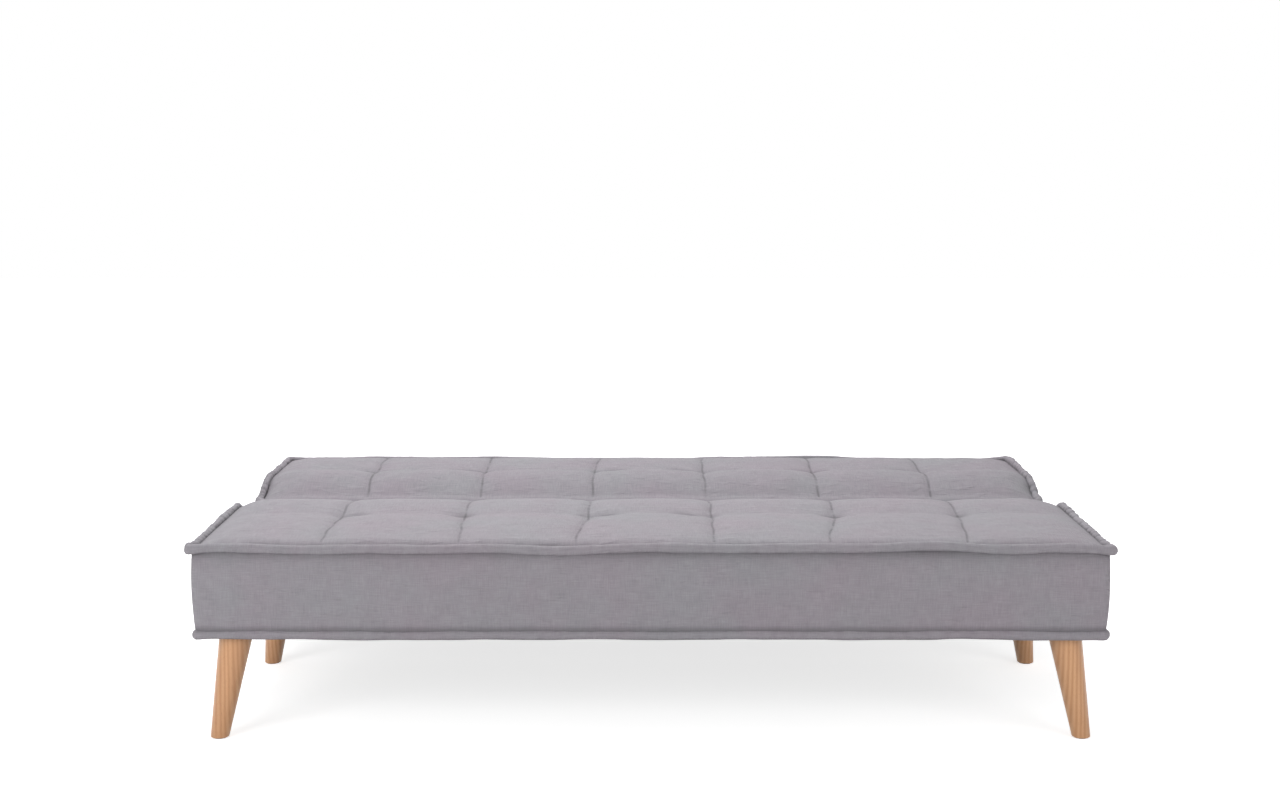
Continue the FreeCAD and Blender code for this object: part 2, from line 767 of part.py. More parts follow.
def leg_body(label, side, place):
    # A round tapered leg, splayed outwards, lofted between its foot and its top
    body = add("PartDesign::Body", label)
    plane = next(item for item in body.Origin.OriginFeatures if item.Role == "XY_Plane")
    y_top = "leg_corner_set_in" if place == "near" else "(seat_depth - leg_corner_set_in)"
    y_foot = f"({y_top} - leg_splay)" if place == "near" else f"({y_top} + leg_splay)"
    rings = []
    for name, radius, x, y, z in (
        ("foot", "leg_foot_radius", f"({LEG_X} + leg_splay)", y_foot, "glide_height"),
        ("top", "leg_top_radius", LEG_X, y_top, DUST_Z),
    ):
        ring = body.newObject("Sketcher::SketchObject", f"{label}_{name}")
        ring.AttachmentSupport = [(plane, "")]
        ring.MapMode = "FlatFace"
        ring.addGeometry(Part.Circle(ORIGIN, Z_AXIS, measure(radius)))
        ring.addConstraint(Sketcher.Constraint("Radius", 0, measure(radius)))
        ring.setExpression("Constraints[0]", linked(radius))
        ring.setExpression("AttachmentOffset.Base.x", linked(f"{side} * {x}"))
        ring.setExpression("AttachmentOffset.Base.y", linked(f"{HINGE_Y} - {y}"))
        ring.setExpression("AttachmentOffset.Base.z", linked(z))
        ring.addConstraint(Sketcher.Constraint("Coincident", 0, 3, -1, 1))
        rings.append(ring)
    loft = body.newObject("PartDesign::AdditiveLoft", f"{label}_taper")
    loft.Profile = rings[0]
    loft.Sections = [rings[1]]
    loft.Ruled = True
    return body


def on_seat(item, side):
    # Turns a piece of the seat's panel frame into the row's frame, for one side
    turned = item if side > 0 else mirrored(item.Label + "_left", item)
    holder = group(item.Label + "_placed", [turned])
    holder.Placement = FreeCAD.Placement(ORIGIN, FreeCAD.Rotation(Z_AXIS, 180))
    holder.setExpression("Placement.Base.y", linked(HINGE_Y))
    return holder


def build_legs():
    glides, bolts, inserts = [], [], []
    for place, place_name in (("far", "front"), ("near", "rear")):
        for side, side_name in ((-1, "left"), (1, "right")):
            label = f"{place_name}_{side_name}_leg"
            turned_side = -side
            bore = leg_rod("bolt_bore", "leg_bolt_radius + thread_gap", place,
                           "-leg_bolt_in_leg", "2 * leg_bolt_in_leg")
            sub_part(cut("leg", leg_body(f"{label}_wood", side, place), [on_seat(bore, turned_side)]), label)
            bolt = leg_rod("leg_bolt", "leg_bolt_radius", place, "-leg_bolt_in_leg",
                           "leg_bolt_in_leg + leg_bolt_in_block")
            bolts.append(on_seat(bolt, turned_side))
            shell = leg_rod("insert_body", "insert_radius", place, "leg_bolt_in_block - insert_length",
                            "insert_length")
            thread = leg_rod("insert_bore", "leg_bolt_radius + thread_gap", place,
                             "leg_bolt_in_block - 2 * insert_length", "3 * insert_length")
            inserts.append(on_seat(cut("leg_insert", shell, [thread]), turned_side))
            y_foot = "leg_corner_set_in - leg_splay"
            if place == "far":
                y_foot = "seat_depth - leg_corner_set_in + leg_splay"
            glides.append(rod("glide", "glide_radius", "glide_height",
                              (f"{side} * ({LEG_X} + leg_splay)", f"{HINGE_Y} - ({y_foot})", "0")))
    sub_part(group("leg_glides", glides), "leg_glides")
    sub_part(group("leg_bolts", bolts), "leg_bolts")
    sub_part(group("leg_inserts", inserts), "leg_inserts")


# Folding plates at each end: seat arm, toothed back arm, keeper, pivot, pawl and leaf spring

def circle(radius, across, up):
    return Part.Circle(point(across, up, "0"), Z_AXIS, measure(radius))


def plate_body(label, x, thickness, corners, holes, eyes):
    # A flat plate square to X: a polygon and round eyes padded together, then bored
    body = add("PartDesign::Body", label)
    plane = next(item for item in body.Origin.OriginFeatures if item.Role == "YZ_Plane")

    def sketch(name):
        item = body.newObject("Sketcher::SketchObject", f"{label}_{name}")
        item.AttachmentSupport = [(plane, "")]
        item.MapMode = "FlatFace"
        item.setExpression("AttachmentOffset.Base.z", linked(x))
        return item

    def pad(profile, name):
        item = body.newObject("PartDesign::Pad", f"{label}_{name}")
        item.Profile = profile
        item.setExpression("Length", linked(thickness))
        return item

    def held(profile, geometry, spot, across, up):
        for kind, expression in (("DistanceX", across), ("DistanceY", up)):
            value = measure(expression)
            index = profile.addConstraint(Sketcher.Constraint(kind, -1, 1, geometry, spot, value))
            profile.setExpression(f"Constraints[{index}]", linked(expression))

    web = sketch("web")
    spots = [point(across, up, "0") for across, up in corners]
    for index, spot in enumerate(spots):
        web.addGeometry(Part.LineSegment(spot, spots[(index + 1) % len(spots)]))
    for index in range(len(spots)):
        web.addConstraint(Sketcher.Constraint("Coincident", index, 2, (index + 1) % len(spots), 1))
    for index, (across, up) in enumerate(corners):
        held(web, index, 1, across, up)
    pad(web, "web_pad")
    for number, (radius, across, up) in enumerate(eyes):
        ring = sketch(f"eye_{number}")
        ring.addGeometry(circle(radius, across, up))
        ring.addConstraint(Sketcher.Constraint("Radius", 0, measure(radius)))
        ring.setExpression("Constraints[0]", linked(radius))
        held(ring, 0, 3, across, up)
        pad(ring, f"eye_{number}_pad")
    rings = sketch("bores")
    for number, (radius, across, up) in enumerate(holes):
        rings.addGeometry(circle(radius, across, up))
        index = rings.addConstraint(Sketcher.Constraint("Radius", number, measure(radius)))
        rings.setExpression(f"Constraints[{index}]", linked(radius))
        held(rings, number, 3, across, up)
    doc.recompute()
    bores = body.newObject("PartDesign::Pocket", f"{label}_drilled")
    bores.Profile = rings
    bores.Type = "ThroughAll"
    bores.Midplane = True
    return body


def at_pivot(across, up):
    return (f"({HINGE_Y} + ({across}))", f"({PIVOT_Z} + ({up}))")


def build_seat_arm():
    corners = [at_pivot(*spot) for spot in (
        ("eye_radius", "0"),
        ("seat_web_knee", "-seat_web_knee_drop"),
        ("-seat_web_heel", "-seat_web_heel_drop"),
        ("-foot_near", "-foot_bottom"),
        ("-foot_far", "-foot_bottom"),
        ("-foot_far", "-foot_top"),
        ("-foot_near", "-foot_top"),
        ("-pawl_pin_back - pin_web_reach", "-pawl_pin_drop - pin_web_drop"),
        ("-eye_radius", "0"),
    )]
    holes = [
        ("pivot_radius + running_gap", *at_pivot("0", "0")),
        ("pawl_pin_radius + running_gap", *at_pivot("-pawl_pin_back", "-pawl_pin_drop")),
        ("bolt_radius + bolt_gap", *at_pivot("-bolt_near", "-bolt_drop")),
        ("bolt_radius + bolt_gap", *at_pivot("-bolt_far", "-bolt_drop")),
    ]
    return plate_body("seat_arm", SEAT_PLATE_X, "plate_thickness", corners, holes,
                      [("eye_radius", *at_pivot("0", "0"))])


def build_back_arm():
    corners = [at_pivot(*spot) for spot in (
        ("back_web_start", "-back_web_start_drop"),
        ("back_web_knee", "-back_web_knee_drop"),
        ("foot_near", "-foot_bottom"),
        ("foot_far", "-foot_bottom"),
        ("foot_far", "-foot_top"),
        ("foot_near + back_web_root", "-foot_top"),
        ("foot_near - back_web_heel", "-back_web_heel_drop"),
        ("back_web_end", "-back_web_end_drop"),
    )]
    holes = [
        ("pivot_radius + running_gap", *at_pivot("0", "0")),
        ("bolt_radius + bolt_gap", *at_pivot("bolt_near", "-bolt_drop")),
        ("bolt_radius + bolt_gap", *at_pivot("bolt_far", "-bolt_drop")),
    ]
    arm = plate_body("back_arm_web", BACK_PLATE_X, "plate_thickness", corners, holes,
                     [("eye_radius", *at_pivot("0", "0"))])
    # The toothed quadrant runs from clear of the pawl when flat to the upright flank, and its
    # notch is the lounging stop
    half_nose = measure("nose_half_width + bolt_gap")
    nose_turn = math.degrees(math.asin(half_nose / measure("nose_radius")))
    start = measure("nose_angle - sofa_angle") + nose_turn
    end = measure("nose_angle - sector_lead")
    sector = bind(add("Part::Cylinder", "sector"), Radius="sector_radius", Height="plate_thickness")
    sector.Angle = end - start
    put(sector, BACK_PLATE_X, *at_pivot("0", "0"), FreeCAD.Rotation(X_AXIS, start).multiply(ALONG_X))
    notch = bind(add("Part::Box", "notch"), Length="plate_thickness",
                 Width="2 * (nose_half_width + bolt_gap)", Height="sector_radius")
    turn = FreeCAD.Rotation(X_AXIS, measure("nose_angle - lounge_angle") - 90)
    place = turn.multVec(FreeCAD.Vector(0, -half_nose, measure("notch_radius")))
    notch.Placement = FreeCAD.Placement(point(BACK_PLATE_X, *at_pivot("0", "0")) + place, turn)
    bore = rod("sector_bore", "pivot_radius + running_gap", "plate_thickness",
               (BACK_PLATE_X, *at_pivot("0", "0")), ALONG_X)
    toothed = cut("quadrant", sector, [notch, bore])
    return joined("back_arm", [arm, toothed])


def build_keeper():
    corners = [at_pivot(*spot) for spot in (
        ("-pawl_head_radius - keeper_margin", "keeper_slant"),
        ("pawl_head_radius + keeper_margin", "-keeper_slant"),
        ("-pawl_pin_back + keeper_half_width", "-pawl_pin_drop - keeper_slant"),
        ("-pawl_pin_back - keeper_half_width", "-pawl_pin_drop + keeper_slant"),
    )]
    holes = [
        ("pivot_radius + running_gap", *at_pivot("0", "0")),
        ("pawl_pin_radius + running_gap", *at_pivot("-pawl_pin_back", "-pawl_pin_drop")),
    ]
    eyes = [
        ("keeper_eye_radius", *at_pivot("0", "0")),
        ("keeper_pin_eye_radius", *at_pivot("-pawl_pin_back", "-pawl_pin_drop")),
    ]
    return plate_body("keeper", KEEPER_X, "keeper_thickness", corners, holes, eyes)


def build_pawl():
    # Drawn engaged, with its nose on the quadrant's radius, then let down about its pin
    across = "cos(nose_angle)"
    up = "sin(nose_angle)"

    def nose(radius, side):
        return (f"({radius}) * {across} - {side} * nose_half_width * {up}",
                f"({radius}) * {up} + {side} * nose_half_width * {across}")

    corners = [at_pivot(*spot) for spot in (
        nose("nose_radius", -1),
        nose("nose_radius", 1),
        nose("sector_radius + pawl_heel", 1),
        ("-pawl_pin_back - pawl_back_reach", "-pawl_pin_drop - pawl_eye_reach"),
        ("-pawl_pin_back - pawl_tail", "-pawl_pin_drop"),
        ("-pawl_pin_back", "-pawl_pin_drop + pawl_eye_reach"),
        nose("sector_radius + pawl_throat", -1),
    )]
    holes = [("pawl_pin_radius + running_gap", *at_pivot("-pawl_pin_back", "-pawl_pin_drop"))]
    eyes = [("pawl_eye_radius", *at_pivot("-pawl_pin_back", "-pawl_pin_drop"))]
    body = plate_body("pawl_plate", BACK_PLATE_X, "plate_thickness", corners, holes, eyes)
    pin = point(BACK_PLATE_X, PAWL_Y, PAWL_Z)
    body.Placement = FreeCAD.Placement(ORIGIN, FreeCAD.Rotation(X_AXIS, -measure("pawl_swing")), pin)
    return body


def headed_pin(label, radius, head_radius, head, y, z, inner_head):
    # A riveted pin through the plates, with a head outside the keeper
    start = f"({SEAT_PLATE_X})"
    outer = f"({KEEPER_X} + keeper_thickness)"
    pieces = [rod(f"{label}_shank", radius, f"{outer} - {start}", (start, y, z), ALONG_X),
              rod(f"{label}_head", head_radius, head, (outer, y, z), ALONG_X)]
    if inner_head:
        pieces.append(rod(f"{label}_foot", head_radius, head, (f"{start} - {head}", y, z), ALONG_X))
    return joined(label, pieces)


def build_leaf_spring():
    # Lies just below the lowered pawl, on a post that stands on the seat arm
    y = f"({HINGE_Y} - leaf_length)"
    top = f"({PAWL_Z} - pawl_eye_radius - fit_gap)"
    leaf = box("leaf", (BACK_PLATE_X, y, f"{top} - leaf_thickness"),
               ("plate_thickness", "leaf_length", "leaf_thickness"))
    post = rod("leaf_post", "leaf_post_radius", "plate_thickness + plate_gap",
               (f"{SEAT_PLATE_X} + plate_thickness", f"{y} + leaf_post_radius",
                f"{top} - leaf_thickness - leaf_post_radius + fit_gap"), ALONG_X)
    return joined("pawl_spring", [leaf, post])


def fixings(panel_sign, plate_x, rail_face):
    # Hexagon bolts through an arm and its end rail, with their nuts inside the frame
    bolts, nuts = [], []
    for place in ("bolt_near", "bolt_far"):
        y, z = at_pivot(f"{panel_sign} * {place}", "-bolt_drop")
        inner = f"({rail_face} - end_rail_thickness)"
        outer = f"({plate_x} + plate_thickness)"
        shank = rod("shank", "bolt_radius", f"{outer} - {inner} + nut_height + bolt_tip",
                    (f"{inner} - nut_height - bolt_tip", y, z), ALONG_X)
        head = hexagon("head", "bolt_head_radius", "bolt_head_height", (outer, y, z), ALONG_X)
        bolts.append(joined("hinge_bolt", [shank, head]))
        start = (f"{inner} - nut_height", y, z)
        blank = hexagon("nut_blank", "bolt_head_radius", "nut_height", start, ALONG_X)
        bore = rod("nut_bore", "bolt_radius + thread_gap", "nut_height", start, ALONG_X)
        nuts.append(cut("hinge_nut", blank, [bore]))
    return group("bolt_set", bolts), group("nut_set", nuts)


def build_mechanism():
    pieces = {
        "seat_arm": build_seat_arm(),
        "back_arm": build_back_arm(),
        "keeper_plate": build_keeper(),
        "pawl": build_pawl(),
        "pivot_pin": headed_pin("pivot", "pivot_radius", "pin_head_radius", "pin_head_height",
                                HINGE_Y, PIVOT_Z, True),
        "pawl_pin": headed_pin("pawl_pivot", "pawl_pin_radius", "pawl_head_radius", "pawl_head_height",
                               PAWL_Y, PAWL_Z, False),
        "pawl_spring": build_leaf_spring(),
    }
    for part_name, item in pieces.items():
        sub_part(mirrored("left", item), f"left_{part_name}")
        sub_part(group("right", [item]), f"right_{part_name}")
    for name, sign, plate_x in (("seat", -1, SEAT_PLATE_X), ("back", 1, BACK_PLATE_X)):
        bolts, nuts = fixings(sign, plate_x, plate_x)
        sub_part(pair("hinge_bolts", bolts), f"{name}_hinge_bolts")
        sub_part(pair("hinge_nuts", nuts), f"{name}_hinge_nuts")


# The whole sofa bed

SEAT = Panel("seat", "seat_depth", "seat_corner_radius", SEAT_PLATE_X, 180)
BACK = Panel("back", "back_depth", "back_corner_radius", BACK_PLATE_X, 0)

for each in (SEAT, BACK):
    build_frame(each)
    build_blocks(each, each is SEAT)
    build_suspension(each)
    build_padding(each)
    build_cloth(each)
    build_dust_cover(each, each is SEAT)
build_legs()
build_mechanism()
doc.recompute()

for item in doc.Objects:
    if "Invalid" in item.State or "Error" in item.State:
        raise RuntimeError(f"{item.Label} failed: {item.State}")
os.makedirs("parts", exist_ok=True)
for item in SUB_PARTS:
    shape = item.Shape
    if shape.isNull() or not shape.isValid():
        raise RuntimeError(f"{item.Label} has no valid shape")
    shape.exportStep(f"parts/{item.Label}.step")
    print(item.Label, len(shape.Solids), round(shape.Volume / 1000, 1))
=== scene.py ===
"""Looks of the click clack sofa bed: stuffed tops, rolls, box cloth, timber, metal and studio."""

import json
import logging
import math
from dataclasses import dataclass, field
from enum import Enum

import bpy
import numpy as np
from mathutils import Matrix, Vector

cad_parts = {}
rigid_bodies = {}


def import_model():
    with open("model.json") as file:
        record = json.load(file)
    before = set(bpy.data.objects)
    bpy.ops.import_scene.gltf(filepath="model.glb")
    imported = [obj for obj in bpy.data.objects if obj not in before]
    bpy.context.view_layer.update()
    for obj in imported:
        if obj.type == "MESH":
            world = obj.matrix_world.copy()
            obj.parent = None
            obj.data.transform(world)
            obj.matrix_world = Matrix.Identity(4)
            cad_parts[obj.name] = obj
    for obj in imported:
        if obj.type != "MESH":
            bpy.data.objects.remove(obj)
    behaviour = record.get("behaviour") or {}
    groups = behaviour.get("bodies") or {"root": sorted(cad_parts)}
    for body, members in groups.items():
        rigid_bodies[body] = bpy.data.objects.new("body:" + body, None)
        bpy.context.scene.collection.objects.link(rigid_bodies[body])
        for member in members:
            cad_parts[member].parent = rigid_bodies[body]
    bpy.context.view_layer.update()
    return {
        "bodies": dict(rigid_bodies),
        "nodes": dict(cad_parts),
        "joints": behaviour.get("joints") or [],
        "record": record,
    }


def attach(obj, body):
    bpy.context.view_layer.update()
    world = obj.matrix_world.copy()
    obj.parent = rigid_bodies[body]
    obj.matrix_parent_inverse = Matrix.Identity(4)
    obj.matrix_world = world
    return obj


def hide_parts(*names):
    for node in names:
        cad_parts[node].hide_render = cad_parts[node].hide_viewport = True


LOG = logging.getLogger("sofa_bed")
FULL_TURN = 2.0 * math.pi
SIDES = ("left", "right")
Pair = tuple[np.ndarray, np.ndarray]
Run = Pair
Triple = tuple[float, float, float]
Colour = tuple[float, ...]
Socket = bpy.types.NodeSocket
Value = Socket | float | Colour
Material = bpy.types.Material
Piece = bpy.types.Object


class Level(Enum):
    """Which of a box's two stuffed rolls a piece is."""

    TOP = "top"
    BOTTOM = "bottom"


class Side(Enum):
    """Left or right end of the sofa bed, as the sign of X."""

    LEFT = -1.0
    RIGHT = 1.0


class Cut(Enum):
    """Where a cut across a stuffed top is made."""

    CROWN = "crown"
    SEAM = "seam"
    EDGE = "edge"


class Grain(Enum):
    """Which way wood grain runs, as how far the pattern is drawn out on each axis."""

    ALONG_X = (0.05, 1.0, 1.0)
    ALONG_Y = (1.0, 0.05, 1.0)
    UPRIGHT = (1.0, 1.0, 0.07)


# Plans, ripples and meshes


@dataclass(frozen=True)
class Ripples:
    """Soft irregular waves in cloth, the same on every run."""

    seed: int
    longest: float
    shortest: float
    count: int = 14

    def at(self, along: np.ndarray, across: np.ndarray) -> np.ndarray:
        """Height of the waves at each spot.

        Args:
            along: Distance along the cloth, in metres.
            across: Distance across the cloth, in metres.

        Returns:
            Values that keep mostly between -1 and 1.
        """
        dice = np.random.default_rng(self.seed)
        total = np.zeros(np.broadcast(along, across).shape)
        for _ in range(self.count):
            length = self.shortest * (self.longest / self.shortest) ** dice.random()
            angle = dice.random() * FULL_TURN
            phase = dice.random() * FULL_TURN
            way = (along * math.cos(angle) + across * math.sin(angle)) / length
            total += np.sin(way * FULL_TURN + phase)
        return total / math.sqrt(self.count)


@dataclass(frozen=True)
class Walk:
    """A line walked along a box's plan: spots, the way outwards and the distance so far."""

    spots: np.ndarray
    outward: np.ndarray
    along: np.ndarray

    @classmethod
    def through(cls, runs: list[Run]) -> "Walk":
        """Joins runs of spots end to end.

        Args:
            runs: Spots and the ways outwards, each run starting where the last one ended.

        Returns:
            The whole walk, with no spot twice.
        """
        spots = np.vstack([runs[0][0]] + [run[0][1:] for run in runs[1:]])
        outward = np.vstack([runs[0][1]] + [run[1][1:] for run in runs[1:]])
        steps = np.linalg.norm(np.diff(spots, axis=0), axis=1)
        return cls(spots, outward, np.concatenate([[0.0], np.cumsum(steps)]))

    def inset(self, set_in: np.ndarray | float) -> np.ndarray:
        """Spots moved inwards by set_in."""
        return self.spots - self.outward * np.asarray(set_in)[..., None]


@dataclass(frozen=True)
class BoxPlan:
    """Plan and side line of one upholstered box, measured outwards from the hinge line."""

    name: str
    depth: float
    far_radius: float
    turned: bool
    half_length: float = 0.900
    hinge_line: float = 0.070
    hinge_gap: float = 0.0035
    hinge_radius: float = 0.070
    roll_height: float = 0.384
    hinge_drop: float = 0.030
    drop_run: float = 0.106
    fewest_corner_steps: int = 8

    @property
    def sign(self) -> float:
        """Which way the box lies from the hinge line."""
        return -1.0 if self.turned else 1.0

    @property
    def rails(self) -> list[str]:
        """The rails its cloth is stretched over."""
        return [f"{self.name}_{rail}" for rail in ("hinge_rail", "outer_rail", "end_rails")]

    def place(self, spots: np.ndarray) -> np.ndarray:
        """Turns spots of the box's own frame into the row frame.

        Args:
            spots: X and distance out of each spot, with or without its height.

        Returns:
            The placed spots.
        """
        placed = np.array(spots, float)
        placed[..., 0] *= self.sign
        placed[..., 1] = self.hinge_line + self.sign * placed[..., 1]
        return placed

    def own_frame(self, points: np.ndarray) -> Pair:
        """X and distance out of points of the row frame."""
        return points[:, 0] * self.sign, (points[:, 1] - self.hinge_line) * self.sign

    def side_line(self, out: np.ndarray) -> np.ndarray:
        """Height of the top roll's middle.

        Args:
            out: Distance from the hinge line, in metres.

        Returns:
            Heights that ease down from the far edge to the hinge in two arcs.
        """
        low = self.roll_height - self.hinge_drop
        bend = (self.drop_run**2 + self.hinge_drop**2) / (4.0 * self.hinge_drop)
        reach = np.clip(out - self.hinge_gap - self.hinge_radius, 0.0, self.drop_run)
        middle = self.drop_run / 2.0
        lower = low + bend - np.sqrt(bend**2 - np.minimum(reach, middle) ** 2)
        rest = self.drop_run - np.maximum(reach, middle)
        upper = self.roll_height - bend + np.sqrt(bend**2 - rest**2)
        return np.where(reach < middle, lower, upper)

    def corner(self, far: bool, side: Side, start: float, end: float, step: float) -> Run:
        """Part of a rounded corner of the plan.

        Args:
            far: Whether it is a corner away from the hinge.
            side: Which end of the box it is at.
            start: Angle it starts at, in degrees, anticlockwise from X.
            end: Angle it ends at.
            step: Longest gap between spots.

        Returns:
            Spots and outward ways.
        """
        radius = self.far_radius if far else self.hinge_radius
        middle = self.depth - radius if far else self.hinge_gap + radius
        centre = np.array([side.value * (self.half_length - radius), middle])
        count = max(self.fewest_corner_steps, math.ceil(abs(math.radians(end - start)) * radius / step))
        angle = np.radians(np.linspace(start, end, count + 1))
        outward = np.stack([np.cos(angle), np.sin(angle)], axis=1)
        return centre + radius * outward, outward

    def straight(self, start: tuple[float, float], end: tuple[float, float], outward: tuple[float, float],
                 step: float) -> Run:
        """A straight stretch of the plan.

        Args:
            start: Its first spot.
            end: Its last spot.
            outward: The way outwards.
            step: Longest gap between spots.

        Returns:
            Spots and outward ways.
        """
        count = max(1, math.ceil(math.dist(start, end) / step))
        spots = np.linspace(start, end, count + 1)
        return spots, np.tile(np.array(outward, float), (count + 1, 1))

    def hinge_side(self, step: float, start: float = -90.0, left: bool = True) -> list[Run]:
        """The stretch along the hinge line, from left to right.

        Args:
            step: Longest gap between spots.
            start: How far round the corners it reaches, in degrees.
            left: Whether it starts at the left corner and not at the middle.

        Returns:
            Runs for Walk.through.
        """
        reach = self.half_length - self.hinge_radius
        low = -reach if left else 0.0
        runs = [self.straight((low, self.hinge_gap), (reach, self.hinge_gap), (0.0, -1.0), step),
                self.corner(False, Side.RIGHT, -90.0, start, step)]
        if left:
            runs.insert(0, self.corner(False, Side.LEFT, -180.0 - start, -90.0, step))
        return runs

    def right_side(self, step: float, start: float) -> list[Run]:
        """The stretch up the right end, from part way round the hinge corner to the far corner.

        Args:
            step: Longest gap between spots.
            start: Where it starts on the hinge corner, in degrees.

        Returns:
            Runs for Walk.through.
        """
        low = self.hinge_gap + self.hinge_radius
        high = self.depth - self.far_radius
        return [self.corner(False, Side.RIGHT, start, 0.0, step),
                self.straight((self.half_length, low), (self.half_length, high), (1.0, 0.0), step)]

    def left_side(self, step: float, start: float) -> list[Run]:
        """The stretch down the left end, the mirror of right_side.

        Args:
            step: Longest gap between spots.
            start: Where it ends on the hinge corner, in degrees of the right-hand one.

        Returns:
            Runs for Walk.through.
        """
        mirror = np.array([-1.0, 1.0])
        return [(spots[::-1] * mirror, outward[::-1] * mirror)
                for spots, outward in reversed(self.right_side(step, start))]

    def far_side(self, step: float) -> list[Run]:
        """The stretch along the far edge with both its corners, from right to left.

        Args:
            step: Longest gap between spots.

        Returns:
            Runs for Walk.through.
        """
        reach = self.half_length - self.far_radius
        return [self.corner(True, Side.RIGHT, 0.0, 90.0, step),
                self.straight((reach, self.depth), (-reach, self.depth), (0.0, 1.0), step),
                self.corner(True, Side.LEFT, 90.0, 180.0, step)]

    def whole(self, step: float) -> Walk:
        """The closed walk round the plan, whose last spot is its first again.

        Args:
            step: Longest gap between spots.

        Returns:
            The walk, from the middle of the hinge side.
        """
        reach = self.half_length - self.hinge_radius
        runs = self.hinge_side(step, 0.0, left=False) + self.right_side(step, 0.0)[1:] + self.far_side(step)
        runs.append(self.left_side(step, 0.0)[0])
        runs.append(self.corner(False, Side.LEFT, 180.0, 270.0, step))
        runs.append(self.straight((-reach, self.hinge_gap), (0.0, self.hinge_gap), (0.0, -1.0), step))
        return Walk.through(runs)


@dataclass
class Patch:
    """Points, faces and cloth lay of one piece, gathered before it becomes an object."""

    points: list[np.ndarray] = field(default_factory=list)
    faces: list[np.ndarray] = field(default_factory=list)
    lays: list[np.ndarray] = field(default_factory=list)
    total: int = 0

    def spots(self, points: np.ndarray) -> int:
        """Adds points and returns the number of the first.

        Args:
            points: Points in rows of any shape.

        Returns:
            The number of the first.
        """
        flat = np.asarray(points, float).reshape(-1, 3)
        self.points.append(flat)
        first = self.total
        self.total += len(flat)
        return first

    def quads(self, numbers: np.ndarray, lay: np.ndarray, flip: bool = False) -> None:
        """Adds the faces between points that are numbered on a grid.

        Args:
            numbers: Point numbers, two-dimensional.
            lay: Cloth position of each grid place, in metres, with two values each.
            flip: Whether the faces look the other way.
        """
        steps = [(0, 0), (1, 0), (1, 1), (0, 1)][::-1 if flip else 1]
        rows, columns = numbers.shape
        corners = [numbers[a:rows - 1 + a, b:columns - 1 + b].ravel() for a, b in steps]
        places = [lay[a:rows - 1 + a, b:columns - 1 + b].reshape(-1, 2) for a, b in steps]
        self.faces.append(np.stack(corners, axis=1))
        self.lays.append(np.stack(places, axis=1))

    def grid(self, points: np.ndarray, lay: np.ndarray, flip: bool = False, round_rows: bool = False,
             round_columns: bool = False) -> np.ndarray:
        """Adds a grid of points and its faces.

        Args:
            points: Rows and columns of points.
            lay: Cloth positions, one row or column more where the grid closes on itself.
            flip: Whether the faces look the other way.
            round_rows: Whether the last row joins the first.
            round_columns: Whether the last column joins the first.

        Returns:
            The point numbers on the grid.
        """
        rows, columns = points.shape[:2]
        numbers = self.spots(points) + np.arange(rows * columns).reshape(rows, columns)
        joined = numbers
        if round_rows:
            joined = np.vstack([joined, joined[:1]])
        if round_columns:
            joined = np.hstack([joined, joined[:, :1]])
        self.quads(joined, lay, flip)
        return numbers

    def as_object(self, name: str, material: Material) -> Piece:
        """Makes the mesh object, smooth shaded, with its cloth lay as a UV map.

        Args:
            name: The piece's name.
            material: Its finish.

        Returns:
            The new object, linked to the scene.
        """
        points = np.vstack(self.points)
        faces = np.vstack(self.faces)
        mesh = bpy.data.meshes.new(name)
        mesh.vertices.add(len(points))
        mesh.loops.add(faces.size)
        mesh.polygons.add(len(faces))
        mesh.vertices.foreach_set("co", points.astype(np.float32).ravel())
        mesh.loops.foreach_set("vertex_index", faces.astype(np.int32).ravel())
        mesh.polygons.foreach_set("loop_start", np.arange(0, faces.size, 4, dtype=np.int32))
        mesh.polygons.foreach_set("loop_total", np.full(len(faces), 4, np.int32))
        mesh.polygons.foreach_set("use_smooth", np.ones(len(faces), bool))
        lay = mesh.uv_layers.new(name="lay")
        lay.data.foreach_set("uv", np.vstack(self.lays).astype(np.float32).ravel())
        mesh.update(calc_edges=True)
        mesh.validate()
        mesh.materials.append(material)
        piece = bpy.data.objects.new(name, mesh)
        bpy.context.scene.collection.objects.link(piece)
        return piece


def lay_grid(rows: np.ndarray, columns: np.ndarray) -> np.ndarray:
    """Cloth positions of a grid.

    Args:
        rows: Position of each row, in metres.
        columns: Position of each column, in metres.

    Returns:
        Pairs of positions on the grid.
    """
    return np.stack(np.meshgrid(rows, columns, indexing="ij"), axis=-1)


def smoothed(share: np.ndarray | float) -> np.ndarray:
    """Eases a share from 0 to 1 with level ends."""
    held = np.clip(share, 0.0, 1.0)
    return held * held * (3.0 - 2.0 * held)


def rounder(piece: Piece) -> None:
    """Adds a subdivision surface to a piece."""
    surface = piece.modifiers.new("rounder", "SUBSURF")
    surface.levels = surface.render_levels = 1


def bite(radius: float, reach: np.ndarray) -> np.ndarray:
    """How much a rounded corner takes off the half length, at a distance in from its edge."""
    gap = np.clip(radius - reach, 0.0, radius)
    return radius - np.sqrt(radius**2 - gap**2)


def drawn_in(across: np.ndarray, half: float, half_here: np.ndarray, run: float = 0.130) -> np.ndarray:
    """Squeezes the ends of a straight grid into a plan with rounded corners.

    Args:
        across: X of each point, up to half.
        half: Half the length of the grid.
        half_here: Half the length of the plan at each point.
        run: How much of each end is squeezed, in metres.

    Returns:
        The new X of each point.
    """
    inner = half - run
    held = np.clip(np.abs(across) - inner, 0.0, None)
    squeeze = (half_here - inner) / (half - inner)
    return np.sign(across) * (np.minimum(np.abs(across), inner) + held * squeeze)


